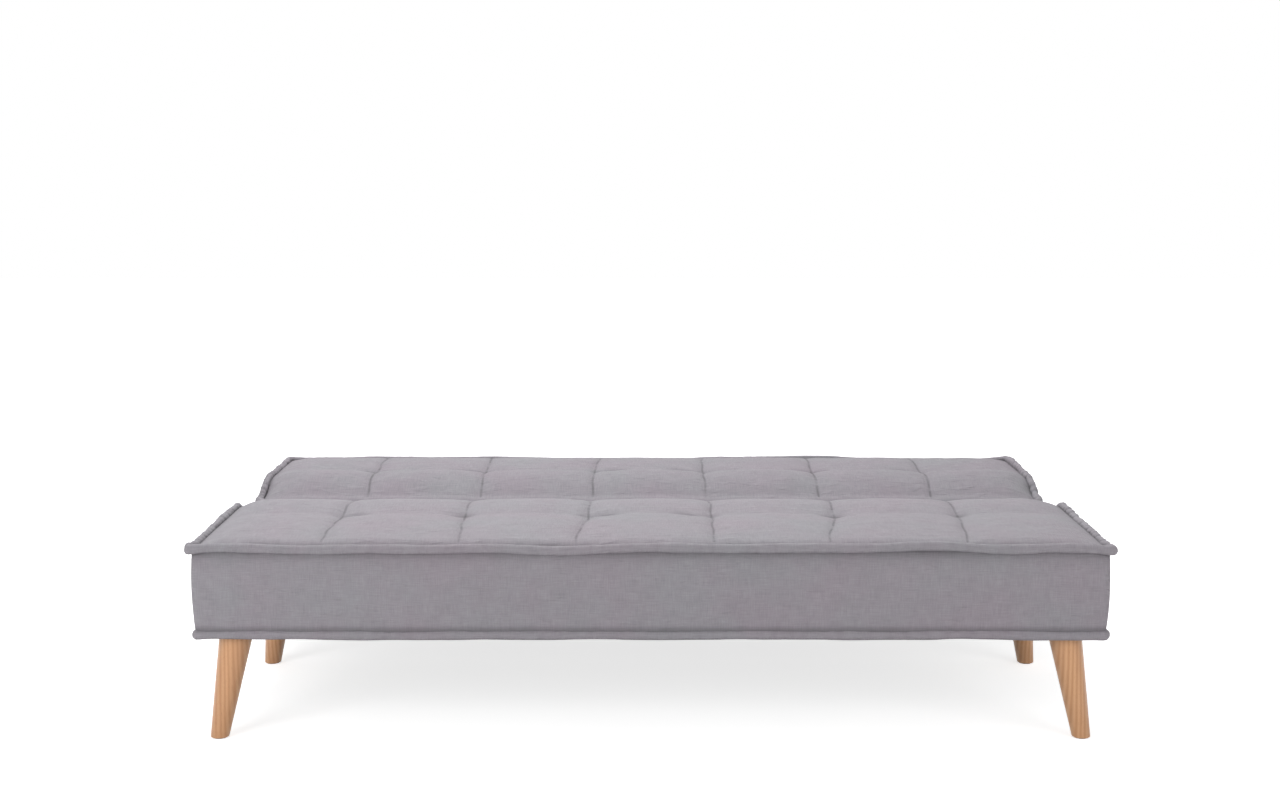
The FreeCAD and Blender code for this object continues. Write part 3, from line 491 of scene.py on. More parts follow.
def ring(shape: tuple[int, int]) -> Pair:
    """Grid places round the edge of a grid, anticlockwise.

    Args:
        shape: Columns and rows of the grid.

    Returns:
        Column and row of each place.
    """
    columns, rows = shape
    first = [(column, 0) for column in range(columns)]
    second = [(columns - 1, row) for row in range(1, rows)]
    third = [(column, rows - 1) for column in range(columns - 2, -1, -1)]
    fourth = [(0, row) for row in range(rows - 2, 0, -1)]
    places = np.array(first + second + third + fourth)
    return places[:, 0], places[:, 1]


def close_cloth(patch: Patch, outer: np.ndarray, inner: np.ndarray) -> None:
    """Joins the two faces of a cloth all round its edge.

    Args:
        patch: The piece so far.
        outer: Point numbers of its outer face.
        inner: Point numbers of its inner face.
    """
    rim = ring(outer.shape)
    front = np.append(outer[rim], outer[rim][0])
    back = np.append(inner[rim], inner[rim][0])
    lay = lay_grid(np.array([0.0, 0.002]), np.arange(len(front)) * 0.005)
    patch.quads(np.array([front, back]), lay, flip=True)


def coordinates(piece: Piece) -> np.ndarray:
    """Points of a piece's mesh as an array.

    Args:
        piece: The piece.

    Returns:
        One row for each point.
    """
    flat = np.zeros(len(piece.data.vertices) * 3, np.float32)
    piece.data.vertices.foreach_get("co", flat)
    return flat.reshape(-1, 3).astype(float)


def set_coordinates(piece: Piece, points: np.ndarray) -> None:
    """Moves the points of a piece's mesh."""
    piece.data.vertices.foreach_set("co", points.astype(np.float32).ravel())
    piece.data.update()


def note(piece: Piece, name: str, values: np.ndarray) -> None:
    """Keeps one number per point for the finish to read.

    Args:
        piece: The piece.
        name: The attribute the finish looks for.
        values: Numbers from 0 to 1 of the first points; the rest get 0.
    """
    every = np.zeros(len(piece.data.vertices), np.float32)
    every[: values.size] = np.clip(values, 0.0, 1.0).ravel()
    piece.data.attributes.new(name, "FLOAT", "POINT").data.foreach_set("value", every)


# Finishes


def shade(*display: float) -> Colour:
    """Turns a display colour of 0 to 255 into the scene's linear colour, with full alpha.

    Args:
        display: Red, green and blue.

    Returns:
        The linear colour.
    """
    shares = [value / 255.0 for value in display]
    linear = [share / 12.92 if share <= 0.04045 else ((share + 0.055) / 1.055) ** 2.4 for share in shares]
    return (*linear, 1.0)


class Wiring:
    """Makes and joins nodes in one tree."""

    def __init__(self, tree: bpy.types.NodeTree) -> None:
        """Takes up a node tree."""
        self.tree = tree

    def node(self, kind: str, **settings: object) -> bpy.types.Node:
        """Adds a node and sets its options.

        Args:
            kind: Blender's name of the node.
            settings: Options to set on it.

        Returns:
            The node.
        """
        made = self.tree.nodes.new(kind)
        for name, value in settings.items():
            setattr(made, name, value)
        return made

    def join(self, source: Socket, target: Socket) -> None:
        """Links two sockets."""
        self.tree.links.new(source, target)

    def feed(self, target: Socket, value: Value) -> None:
        """Links a socket or sets a plain value on the target.

        Args:
            target: The socket that is fed.
            value: Socket, number or colour.
        """
        if isinstance(value, bpy.types.NodeSocket):
            self.join(value, target)
        else:
            target.default_value = value

    def stretched(self, vector: Socket, stretch: Triple) -> Socket:
        """Scales a position on each axis.

        Args:
            vector: The position.
            stretch: Factor on each axis.

        Returns:
            The scaled position.
        """
        mapping = self.node("ShaderNodeMapping")
        self.join(vector, mapping.inputs["Vector"])
        mapping.inputs["Scale"].default_value = stretch
        return mapping.outputs["Vector"]

    def noise(self, vector: Socket, scale: float, detail: float = 3.0,
              roughness: float = 0.55) -> Socket:
        """Cloudy noise.

        Args:
            vector: Where it is read.
            scale: Clouds per metre.
            detail: Octaves.
            roughness: How strong the fine octaves are.

        Returns:
            The noise from 0 to 1.
        """
        made = self.node("ShaderNodeTexNoise")
        self.join(vector, made.inputs["Vector"])
        made.inputs["Scale"].default_value = scale
        made.inputs["Detail"].default_value = detail
        made.inputs["Roughness"].default_value = roughness
        return made.outputs["Fac"]

    def threads(self, vector: Socket, axis: str, pitch: float, wander: float) -> Socket:
        """Parallel threads or rings.

        Args:
            vector: Where they are read.
            axis: X, Y or Z, the way across them.
            pitch: Distance from one to the next, in metres.
            wander: How far they leave a straight line.

        Returns:
            Height across the threads, from 0 to 1.
        """
        wave = self.node("ShaderNodeTexWave", wave_type="BANDS", bands_direction=axis)
        self.join(vector, wave.inputs["Vector"])
        wave.inputs["Scale"].default_value = FULL_TURN / (20.0 * pitch)
        wave.inputs["Distortion"].default_value = wander
        wave.inputs["Detail"].default_value = 2.0
        wave.inputs["Detail Scale"].default_value = 1.2
        return wave.outputs["Fac"]

    def step(self, operation: str, first: Value, second: Value) -> Socket:
        """One step of arithmetic.

        Args:
            operation: Blender's name of the operation.
            first: Socket or number.
            second: Socket or number.

        Returns:
            The result.
        """
        made = self.node("ShaderNodeMath", operation=operation)
        self.feed(made.inputs[0], first)
        self.feed(made.inputs[1], second)
        return made.outputs[0]

    def plus(self, first: Value, second: Value) -> Socket:
        """Adds two values."""
        return self.step("ADD", first, second)

    def times(self, first: Value, second: Value) -> Socket:
        """Multiplies two values."""
        return self.step("MULTIPLY", first, second)

    def between(self, value: Socket, low: float, high: float, to_low: float = 0.0,
                to_high: float = 1.0) -> Socket:
        """Maps a range of values to another, clamped.

        Args:
            value: What is mapped.
            low: Lowest value read.
            high: Highest value read.
            to_low: What low becomes.
            to_high: What high becomes.

        Returns:
            The mapped value.
        """
        made = self.node("ShaderNodeMapRange")
        self.join(value, made.inputs["Value"])
        for name, number in (("From Min", low), ("From Max", high), ("To Min", to_low), ("To Max", to_high)):
            made.inputs[name].default_value = number
        return made.outputs["Result"]

    def mixed(self, share: Value, first: Value, second: Value, blend: str = "MIX") -> Socket:
        """Mixes two colours.

        Args:
            share: Socket or number, how much of the second.
            first: Socket or colour.
            second: Socket or colour.
            blend: Blender's name of the blend.

        Returns:
            The mixed colour.
        """
        made = self.node("ShaderNodeMix", data_type="RGBA", blend_type=blend)
        self.feed(made.inputs[0], share)
        self.feed(made.inputs[6], first)
        self.feed(made.inputs[7], second)
        return made.outputs[2]

    def place(self) -> Socket:
        """Position on the object, in metres."""
        return self.node("ShaderNodeTexCoord").outputs["Object"]


class Bench(Wiring):
    """The nodes of one finish."""

    def __init__(self, name: str) -> None:
        """Starts a material with one shader.

        Args:
            name: The material's name.
        """
        self.material = bpy.data.materials.new(name)
        self.material.use_nodes = True
        super().__init__(self.material.node_tree)
        self.shader = self.tree.nodes["Principled BSDF"]

    def cloth_lay(self) -> Socket:
        """Position on the cloth, in metres."""
        return self.node("ShaderNodeUVMap", uv_map="lay").outputs["UV"]

    def noted(self, name: str) -> Socket:
        """A number kept on the piece's points, 0 where a piece has none."""
        return self.node("ShaderNodeAttribute", attribute_name=name).outputs["Fac"]

    def edges(self) -> Socket:
        """Where the shape turns sharply outwards, from 0 to 1."""
        return self.between(self.node("ShaderNodeNewGeometry").outputs["Pointiness"], 0.50, 0.60)

    def colour(self, value: Socket) -> None:
        """Gives the surface its colour."""
        self.join(value, self.shader.inputs["Base Color"])

    def tinted(self, base: Socket, tint: Colour, value: Socket, low: float, high: float,
               most: float) -> Socket:
        """Lays a tint over a colour where a value is high.

        Args:
            base: The colour so far.
            tint: The colour laid over it.
            value: What decides where.
            low: Value below which there is none.
            high: Value above which there is most.
            most: Share of the tint there.

        Returns:
            The colour.
        """
        return self.mixed(self.between(value, low, high, 0.0, most), base, tint)

    def roughness(self, value: Socket, low: float, high: float, to_low: float, to_high: float) -> None:
        """Gives the surface its roughness, mapped from a range of values as in between."""
        self.join(self.between(value, low, high, to_low, to_high), self.shader.inputs["Roughness"])

    def relief(self, height: Socket, depth: float, strength: float = 1.0) -> None:
        """Raises the surface by a fine relief.

        Args:
            height: Height from 0 to 1.
            depth: What a height of 1 is, in metres.
            strength: Share of the relief that shows.
        """
        bump = self.node("ShaderNodeBump")
        self.join(height, bump.inputs["Height"])
        bump.inputs["Distance"].default_value = depth
        bump.inputs["Strength"].default_value = strength
        self.join(bump.outputs["Normal"], self.shader.inputs["Normal"])

    def plain(self, **values: float) -> None:
        """Sets values that are the same all over on the shader's own sockets.

        Args:
            values: Numbers by the short names below.
        """
        names = {"metal": "Metallic", "sheen": "Sheen Weight", "sheen_roughness": "Sheen Roughness",
                 "coat": "Coat Weight", "coat_roughness": "Coat Roughness", "specular": "Specular IOR Level"}
        for name, value in values.items():
            self.shader.inputs[names[name]].default_value = value


@dataclass(frozen=True)
class SlubLinen:
    """Grey linen-look upholstery cloth with uneven yarns."""

    name: str = "slub_linen"
    warm: Triple = (161.0, 153.5, 161.0)
    cool: Triple = (159.0, 156.5, 162.0)
    yarn_pitch: float = 0.0011
    yarn_contrast: float = 0.08
    # How much painted shade darkens the cloth along the seams and in the folds, dimples and grooves noted on
    # each piece.
    painted_seam_darkening: float = 0.34
    painted_shade_strength: float = 0.54

    def material(self) -> Material:
        """Builds the cloth: crossed yarns, slubs along both, faint mottling, yarns lighter where they rise
        and darker where they sink, and painted shade along seams and in folds.

        Returns:
            The material.
        """
        bench = Bench(self.name)
        lay = bench.cloth_lay()
        warp = bench.threads(lay, "X", self.yarn_pitch, 1.6)
        weft = bench.threads(lay, "Y", self.yarn_pitch, 1.6)
        slub_x = bench.noise(bench.stretched(lay, (0.045, 1.0, 1.0)), 620.0, 3.0, 0.6)
        slub_y = bench.noise(bench.stretched(lay, (1.0, 0.06, 1.0)), 540.0, 3.0, 0.6)
        checker = bench.times(warp, weft)
        over = bench.plus(bench.plus(warp, weft), bench.times(checker, -1.2))
        yarns = bench.times(over, bench.plus(slub_x, slub_y))
        clouds = bench.noise(bench.place(), 5.0, 4.0, 0.6)
        patches = bench.noise(bench.place(), 38.0, 3.0, 0.65)
        tint = bench.mixed(bench.between(clouds, 0.36, 0.64), shade(*self.warm), shade(*self.cool))
        value = bench.between(bench.plus(slub_x, slub_y), 0.7, 1.3, 0.90, 1.10)
        value = bench.times(value, bench.between(patches, 0.3, 0.7, 0.96, 1.04))
        # Yarns lighter where they rise and darker where they sink.
        value = bench.times(value, bench.between(yarns, 0.2, 1.2, 1.0 - self.yarn_contrast, 1.0 + self.yarn_contrast / 2.0))
        # Painted shade: darker along the seams and, below, in folds, dimples, under the rolls and above the
        # foot, where the cloth would lie in shade.
        line = bench.between(bench.noted("seam"), 0.80, 0.96, 0.0, self.painted_seam_darkening)
        line = bench.times(line, bench.between(bench.noise(bench.place(), 22.0, 2.0), 0.34, 0.56, 0.25, 1.0))
        value = bench.times(value, bench.step("SUBTRACT", 1.0, line))
        soft = bench.times(bench.noted("fold"), self.painted_shade_strength)
        value = bench.times(value, bench.step("SUBTRACT", 1.0, soft))
        shaded = bench.mixed(1.0, tint, self.grey(bench, value), "MULTIPLY")
        bench.colour(shaded)
        bench.roughness(yarns, 0.2, 1.2, 0.96, 0.86)
        rumple = bench.noise(bench.stretched(lay, (0.38, 1.0, 1.0)), 62.0, 2.0, 0.5)
        ridges = bench.times(bench.between(rumple, 0.54, 0.66), 4.0)
        bench.relief(bench.plus(bench.plus(yarns, patches), ridges), 0.00045, 0.6)
        bench.plain(sheen=0.12, sheen_roughness=0.45, specular=0.16)
        return bench.material

    @staticmethod
    def grey(bench: Bench, value: Socket) -> Socket:
        """Turns a value into a grey colour.

        Args:
            bench: Where the node goes.
            value: The value.

        Returns:
            The colour.
        """
        made = bench.node("ShaderNodeCombineColor")
        for name in ("Red", "Green", "Blue"):
            bench.join(value, made.inputs[name])
        return made.outputs["Color"]


@dataclass(frozen=True)
class DustCloth:
    """Thin black non-woven cloth under a box."""

    name: str = "dust_cloth"

    def material(self) -> Material:
        """Builds the cloth: pressed dimples, loose fibres and dust.

        Returns:
            The material.
        """
        bench = Bench(self.name)
        lay = bench.cloth_lay()
        dimples = bench.times(bench.threads(lay, "X", 0.0030, 0.2), bench.threads(lay, "Y", 0.0030, 0.2))
        fibres = bench.noise(bench.stretched(lay, (0.25, 1.0, 1.0)), 900.0, 4.0, 0.7)
        dust = bench.noise(bench.place(), 14.0, 4.0, 0.6)
        dark = bench.mixed(bench.between(fibres, 0.35, 0.7), shade(24, 24, 26), shade(44, 44, 47))
        bench.colour(bench.tinted(dark, shade(86, 84, 82), dust, 0.45, 0.8, 0.35))
        bench.roughness(fibres, 0.3, 0.7, 0.8, 0.95)
        bench.relief(bench.plus(bench.times(dimples, -0.8), fibres), 0.0003, 0.7)
        bench.plain(specular=0.25, sheen=0.05)
        return bench.material


@dataclass(frozen=True)
class Felt:
    """Pressed fibre felt laid over the springs."""

    name: str = "felt"

    def material(self) -> Material:
        """Builds the felt: matted fibres of several colours.

        Returns:
            The material.
        """
        bench = Bench(self.name)
        place = bench.place()
        mat = bench.noise(bench.stretched(place, (1.0, 0.35, 1.0)), 420.0, 5.0, 0.75)
        flecks = bench.noise(place, 900.0, 2.0, 0.5)
        base = bench.mixed(bench.between(mat, 0.35, 0.68), shade(88, 84, 80), shade(136, 130, 122))
        bench.colour(bench.tinted(base, shade(172, 96, 74), flecks, 0.62, 0.72, 0.6))
        bench.roughness(mat, 0.3, 0.7, 0.92, 1.0)
        bench.relief(mat, 0.0012, 0.8)
        bench.plain(sheen=0.3, specular=0.1)
        return bench.material


@dataclass(frozen=True)
class Twine:
    """Waxed flax twine of the hidden tuft ties."""

    name: str = "twine"

    def material(self) -> Material:
        """Builds the twine: slanting twist and stray fibres.

        Returns:
            The material.
        """
        bench = Bench(self.name)
        place = bench.place()
        twist = bench.threads(bench.stretched(place, (1.0, 1.0, 0.5)), "DIAGONAL", 0.0016, 0.8)
        fibre = bench.noise(place, 1500.0, 3.0, 0.6)
        bench.colour(bench.mixed(bench.times(twist, fibre), shade(146, 122, 86), shade(206, 186, 148)))
        bench.roughness(fibre, 0.3, 0.7, 0.62, 0.85)
        bench.relief(twist, 0.0004, 0.8)
        bench.plain(sheen=0.1)
        return bench.material


@dataclass(frozen=True)
class TurnedWood:
    """Satin-lacquered wood of the turned legs."""

    name: str = "leg_wood"
    pale: Triple = (220.0, 170.0, 126.0)
    mid: Triple = (205.0, 149.0, 104.0)
    dark: Triple = (164.0, 106.0, 68.0)

    def material(self) -> Material:
        """Builds the wood: wandering growth rings, fine pores, flecks and a worn satin coat.

        Returns:
            The material.
        """
        bench = Bench(self.name)
        place = bench.place()
        drawn = bench.stretched(place, Grain.UPRIGHT.value)
        sway = bench.noise(drawn, 26.0, 3.0, 0.5)
        rings = bench.threads(bench.stretched(place, (1.0, 0.55, 0.10)), "X", 0.0085, 3.2)
        pores = bench.noise(bench.stretched(place, (1.0, 1.0, 0.025)), 1300.0, 3.0, 0.7)
        flecks = bench.noise(bench.stretched(place, (1.0, 1.0, 0.14)), 420.0, 2.0, 0.5)
        body = bench.mixed(bench.between(rings, 0.15, 0.95), shade(*self.pale), shade(*self.mid))
        body = bench.tinted(body, shade(*self.dark), sway, 0.42, 0.72, 0.45)
        body = bench.tinted(body, shade(*self.dark), pores, 0.56, 0.72, 0.55)
        body = bench.tinted(body, shade(*self.pale), flecks, 0.64, 0.74, 0.35)
        bench.colour(bench.tinted(body, shade(*self.pale), bench.edges(), 0.2, 1.0, 0.3))
        bench.roughness(pores, 0.35, 0.75, 0.34, 0.52)
        bench.relief(bench.plus(pores, bench.times(rings, 0.4)), 0.00016, 0.5)
        bench.plain(coat=0.25, coat_roughness=0.28, specular=0.45)
        return bench.material


@dataclass(frozen=True)
class FrameTimber:
    """Planed softwood of the hidden frame."""

    grain: Grain
    name: str = "frame_timber"

    def material(self) -> Material:
        """Builds the timber: streaked grain, knots, saw marks and bruised edges.

        Returns:
            The material.
        """
        bench = Bench(f"{self.name}_{self.grain.name.lower()}")
        place = bench.place()
        drawn = bench.stretched(place, self.grain.value)
        streaks = bench.noise(drawn, 150.0, 4.0, 0.6)
        bands = bench.noise(drawn, 34.0, 2.0, 0.4)
        along = tuple(max(0.4, share) for share in self.grain.value)
        knots = bench.noise(bench.stretched(place, along), 7.0, 1.0, 0.3)
        across = tuple(1.05 - share for share in self.grain.value)
        saw = bench.noise(bench.stretched(place, across), 700.0, 2.0, 0.5)
        body = bench.mixed(bench.between(bands, 0.35, 0.65), shade(222, 192, 144), shade(198, 158, 108))
        body = bench.tinted(body, shade(170, 124, 78), streaks, 0.45, 0.7, 0.6)
        body = bench.tinted(body, shade(112, 70, 42), knots, 0.70, 0.80, 0.85)
        bench.colour(bench.tinted(body, shade(232, 208, 168), bench.edges(), 0.2, 1.0, 0.4))
        bench.roughness(streaks, 0.3, 0.7, 0.62, 0.82)
        bench.relief(bench.plus(streaks, bench.times(saw, 0.5)), 0.0004, 0.6)
        bench.plain(specular=0.3)
        return bench.material


@dataclass(frozen=True)
class PaintedSteel:
    """Matt black powder-coated steel of the folding plates."""

    name: str = "plate_steel"

    def material(self) -> Material:
        """Builds the paint: fine orange peel, dust and bare worn edges.

        Returns:
            The material.
        """
        bench = Bench(self.name)
        place = bench.place()
        peel = bench.noise(place, 1100.0, 2.0, 0.4)
        dust = bench.noise(place, 60.0, 4.0, 0.6)
        body = bench.mixed(bench.between(dust, 0.4, 0.7), shade(30, 30, 32), shade(46, 46, 48))
        worn = bench.times(bench.edges(), bench.noise(place, 300.0, 3.0, 0.6))
        bench.colour(bench.mixed(bench.between(worn, 0.35, 0.5), body, shade(132, 130, 126)))
        bench.roughness(dust, 0.4, 0.7, 0.42, 0.6)
        bench.relief(peel, 0.00012, 0.6)
        bench.plain(specular=0.5)
        return bench.material


@dataclass(frozen=True)
class BareSteel:
    """Plated or oiled steel of bolts, pins, wires and clips."""

    name: str
    bright: Triple
    dull: Triple
    roughest: float = 0.5
    stain: Triple = (120.0, 92.0, 66.0)
    stained: float = 0.15

    def material(self) -> Material:
        """Builds the metal: drawing marks, cloudy plating and spots of stain.

        Returns:
            The material.
        """
        bench = Bench(self.name)
        place = bench.place()
        marks = bench.noise(bench.stretched(place, (0.08, 1.0, 1.0)), 1600.0, 3.0, 0.6)
        clouds = bench.noise(place, 120.0, 4.0, 0.6)
        spots = bench.noise(place, 240.0, 3.0, 0.7)
        body = bench.mixed(bench.between(clouds, 0.35, 0.65), shade(*self.bright), shade(*self.dull))
        bench.colour(bench.tinted(body, shade(*self.stain), spots, 0.6, 0.75, self.stained))
        bench.roughness(marks, 0.3, 0.7, self.roughest - 0.18, self.roughest)
        bench.relief(marks, 0.00005, 0.5)
        bench.plain(metal=1.0)
        return bench.material


@dataclass(frozen=True)
class GlidePlastic:
    """Moulded plastic of the glides under the legs."""

    name: str = "glide_plastic"

    def material(self) -> Material:
        """Builds the plastic: moulding grain and scuffs.

        Returns:
            The material.
        """
        bench = Bench(self.name)
        place = bench.place()
        scuffs = bench.noise(bench.stretched(place, (0.2, 1.0, 1.0)), 500.0, 3.0, 0.6)
        grain = bench.noise(place, 1400.0, 2.0, 0.5)
        body = bench.mixed(bench.between(grain, 0.3, 0.7), shade(112, 84, 62), shade(128, 98, 74))
        bench.colour(bench.tinted(body, shade(166, 140, 116), scuffs, 0.6, 0.75, 0.4))
        bench.roughness(scuffs, 0.3, 0.7, 0.45, 0.65)
        bench.relief(grain, 0.00008, 0.6)
        bench.plain(specular=0.45)
        return bench.material


# Upholstery


@dataclass(frozen=True)
class Tuft:
    """One blind tuft and the seam that runs from it towards the outer edge."""

    across: float
    seam_drift: float = 0.0
    crease_shift: float = 0.0
    crease_width: float = 0.030


@dataclass
class TuftedTop:
    """The stuffed, blind-tufted top of one box, a closed pad that is swollen by simulation."""

    plan: BoxPlan
    tufts: tuple[Tuft, ...]
    seed: int
    set_in: float = 0.0183
    foam_set_in: float = 0.0216
    foam_hinge_step: float = 0.0033
    foam_floor: float = 0.2983
    crown: float = 0.404
    edge_lift: float = 0.002
    edge_swell: float = 0.001
    shoulder: float = 0.028
    shoulder_rise: float = 0.012
    cross_dip: float = 0.007
    seam_depth: float = 0.006
    seam_wander: float = 0.0016
    tuft_depth: float = 0.014
    edge_fullness: float = 3.4
    seam_fullness: float = 2.3
    hem: float = 0.012
    hem_step: float = 0.001
    wall_lay: tuple[float, ...] = (0.0, 0.025, 0.027, 0.085)
    lay_step: float = 0.005
    groove: float = 0.0048
    groove_reach: float = 0.0060
    ray_depth: float = 0.0030
    ray_reach: float = 0.026
    dimple_depth: float = 0.0034
    dimple_reach: float = 0.012
    sewn_reach: float = 0.012
    crease_depth: float = 0.0050
    crease_back: float = 0.004
    crease_bend: float = 0.003
    crease_half: float = 0.010
    tie_room: float = 0.0022
    tie_slope: float = 0.08
    # Painted shade: how wide and how dark the cloth is painted along the seams, in dimples and creases and
    # round the rim.
    seam_shade_reach: float = 0.020
    painted_seam_shade: float = 0.16
    painted_dimple_shade: float = 0.30
    painted_crease_shade: float = 0.50
    painted_rim_shade: float = 0.9
    rim_shade: float = 0.004
    gather_depth: float = 0.0011
    gather_reach: float = 0.022
    loose_depth: float = 0.0007
    notch_reach: float = 0.0835
    notch_face: float = 0.8675
    least_radius: float = 0.004
    corner_spots: int = 12
    step: float = 0.0075
    most_swell: float = 0.007
    frames: int = 18

    @property
    def near(self) -> float:
        """Where the top starts, out from the hinge line."""
        return self.plan.hinge_gap + self.set_in

    @property
    def far(self) -> float:
        """Where the top ends, out from the hinge line."""
        return self.plan.depth - self.set_in

    @property
    def middle(self) -> float:
        """How far out the row of tufts is."""
        return self.plan.depth / 2.0

    @property
    def half(self) -> float:
        """Half the length of the top."""
        return self.plan.half_length - self.set_in

    @property
    def near_radius(self) -> float:
        """Radius of the corners by the hinge."""
        return self.plan.hinge_radius - self.set_in

    @property
    def far_radius(self) -> float:
        """Radius of the far corners."""
        return max(self.plan.far_radius - self.set_in, self.least_radius)

    @property
    def stops(self) -> list[float]:
        """X of the ends and of every tuft."""
        return [-self.half] + [tuft.across for tuft in self.tufts] + [self.half]

    def outs(self) -> np.ndarray:
        """How far out each row of the grid is, closer together round the corners.

        Returns:
            Distances out, rising.
        """
        quarter = np.linspace(0.0, math.pi / 2.0, self.corner_spots)
        first = self.near + self.near_radius * (1.0 - np.cos(quarter))
        last = self.far - self.far_radius * (1.0 - np.cos(quarter[::-1]))
        inner = []
        for start, end in ((first[-1], self.middle), (self.middle, last[0])):
            count = math.ceil((end - start) / self.step)
            inner.append(np.linspace(start, end, count + 1)[1:])
        return np.concatenate([first, inner[0], inner[1][:-1], last])

    def half_at(self, out: np.ndarray) -> np.ndarray:
        """Half the length of the top at a distance out, less round the corners."""
        return self.half - (bite(self.near_radius, out - self.near) + bite(self.far_radius, self.far - out))

    def rim(self, across: np.ndarray, out: np.ndarray) -> np.ndarray:
        """Distance of each point from the edge of the top, negative outside it."""
        return np.minimum(np.minimum(out - self.near, self.far - out), self.half_at(out) - np.abs(across))

    def eased(self, out: np.ndarray, near_run: float, far_run: float) -> np.ndarray:
        """A share that is 1 over the top and eases to 0 at its two long edges."""
        return smoothed((out - self.near) / near_run) * smoothed((self.far - out) / far_run)

    def seam_at(self, tuft: Tuft, out: np.ndarray) -> np.ndarray:
        """X of a tuft's seam at a distance out: it drifts sideways from the tuft to the outer edge.

        Args:
            tuft: The tuft.
            out: Where it is read.

        Returns:
            X of the seam at each distance.
        """
        share = smoothed((out - self.middle) / (self.far - self.middle))
        ripples = Ripples(self.seed + 1000 + round(tuft.across * 1000), 0.20, 0.08, 4)
        wander = ripples.at(out, np.zeros_like(out)) * (1.0 - np.exp(-np.abs(out - self.middle) / 0.03))
        return tuft.across + tuft.seam_drift * share + self.seam_wander * wander

    def columns(self) -> np.ndarray:
        """X of each grid column along the row of tufts, with one on every seam.

        Returns:
            Places from left to right.
        """
        parts = []
        for left, right in zip(self.stops[:-1], self.stops[1:]):
            count = 2 * math.ceil((right - left) / self.step / 2.0)
            parts.append(np.linspace(left, right, count + 1)[:-1])
        return np.concatenate(parts + [[self.half]])

    def spread(self) -> Pair:
        """X and distance out of every grid point, with columns that follow the seams.

        Returns:
            Two grids, columns first.
        """
        base, outs = self.columns(), self.outs()
        out = np.meshgrid(base, outs, indexing="ij")[1]
        moved = np.zeros_like(out)
        for row, level in enumerate(outs):
            drift = [float(self.seam_at(tuft, np.array([level]))[0]) - tuft.across for tuft in self.tufts]
            moved[:, row] = base + np.interp(base, self.stops, [0.0, *drift, 0.0])
        return drawn_in(moved, self.half, self.half_at(out)), out

    def arc_height(self, spots: list[tuple[float, float]], out: np.ndarray) -> np.ndarray:
        """Height of the arc through three pairs of distance out and height.

        Args:
            spots: The three pairs.
            out: Where the height is read.

        Returns:
            The heights.
        """
        (a, p), (b, q), (c, r) = spots
        first, second = (q - p) / (b - a), (r - q) / (c - b)
        curve = (second - first) / (c - a)
        return p + first * (out - a) + curve * (out - a) * (out - b)

    def profile(self, cut: Cut, out: np.ndarray) -> np.ndarray:
        """Height along a cut across the top.

        Args:
            cut: Over the crown of a puff, down a seam or beside the end roll.
            out: Where the height is read.

        Returns:
            The heights.
        """
        near, far, middle, shoulder = self.near, self.far, self.middle, self.shoulder
        if cut is Cut.EDGE:
            share = np.clip((out - near) / (far - near), 0, 1)
            return self.plan.side_line(out) + self.edge_lift + self.edge_swell * np.sin(np.pi * share)
        high = self.plan.roll_height + self.edge_lift
        low = self.plan.roll_height - self.plan.hinge_drop + self.edge_lift
        rise, ease = self.shoulder_rise, self.shoulder_rise / 4.0
        places = [near, near + shoulder, (near + shoulder + middle) / 2.0, middle,
                  (middle + far - shoulder) / 2.0, far - shoulder, far]
        heights = [low, low + rise, self.crown, self.crown - self.cross_dip, self.crown, high + rise, high]
        if cut is Cut.SEAM:
            edge_fall = self.seam_depth / 3.0
            falls = [0.0, edge_fall, self.seam_depth, self.tuft_depth - self.cross_dip, self.seam_depth,
                     edge_fall, 0.0]
            heights = [height - fall for height, fall in zip(heights, falls)]
        spots = list(zip(places, heights))
        near_mid = ((places[0] + places[1]) / 2.0, (heights[0] + heights[1]) / 2.0 + ease)
        far_mid = ((places[5] + places[6]) / 2.0, (heights[5] + heights[6]) / 2.0 + ease)
        arcs = [
            ([spots[0], near_mid, spots[1]], places[1]),
            (spots[1:4], places[3]),
            (spots[3:6], places[5]),
            ([spots[5], far_mid, spots[6]], math.inf),
        ]
        total = np.full_like(out, np.nan)
        for three, end in arcs:
            total = np.where(np.isnan(total) & (out <= end), self.arc_height(three, out), total)
        return total

    def puffs(self, across: np.ndarray, out: np.ndarray) -> np.ndarray:
        """Height of the tufted top before it is swollen.

        Args:
            across: X of each point.
            out: Distance out of each point.

        Returns:
            The heights.
        """
        crown, seam, edge = (self.profile(cut, out) for cut in (Cut.CROWN, Cut.SEAM, Cut.EDGE))
        lines = [-self.half_at(out)] + [self.seam_at(tuft, out) for tuft in self.tufts] + [self.half_at(out)]
        height = np.array(crown)
        last = len(lines) - 2
        for index, (left, right) in enumerate(zip(lines[:-1], lines[1:])):
            share = np.clip((2.0 * across - left - right) / (right - left), -1.0, 1.0)
            inside = (across >= left - 1e-9) & (across <= right + 1e-9)
            outermost = ((index == 0) & (share < 0)) | ((index == last) & (share > 0))
            ends = np.where(outermost, edge, seam)
            power = np.where(outermost, self.edge_fullness, self.seam_fullness)
            here = ends + (crown - ends) * (1.0 - np.abs(share) ** power)
            height = np.where(inside, here, height)
        return height

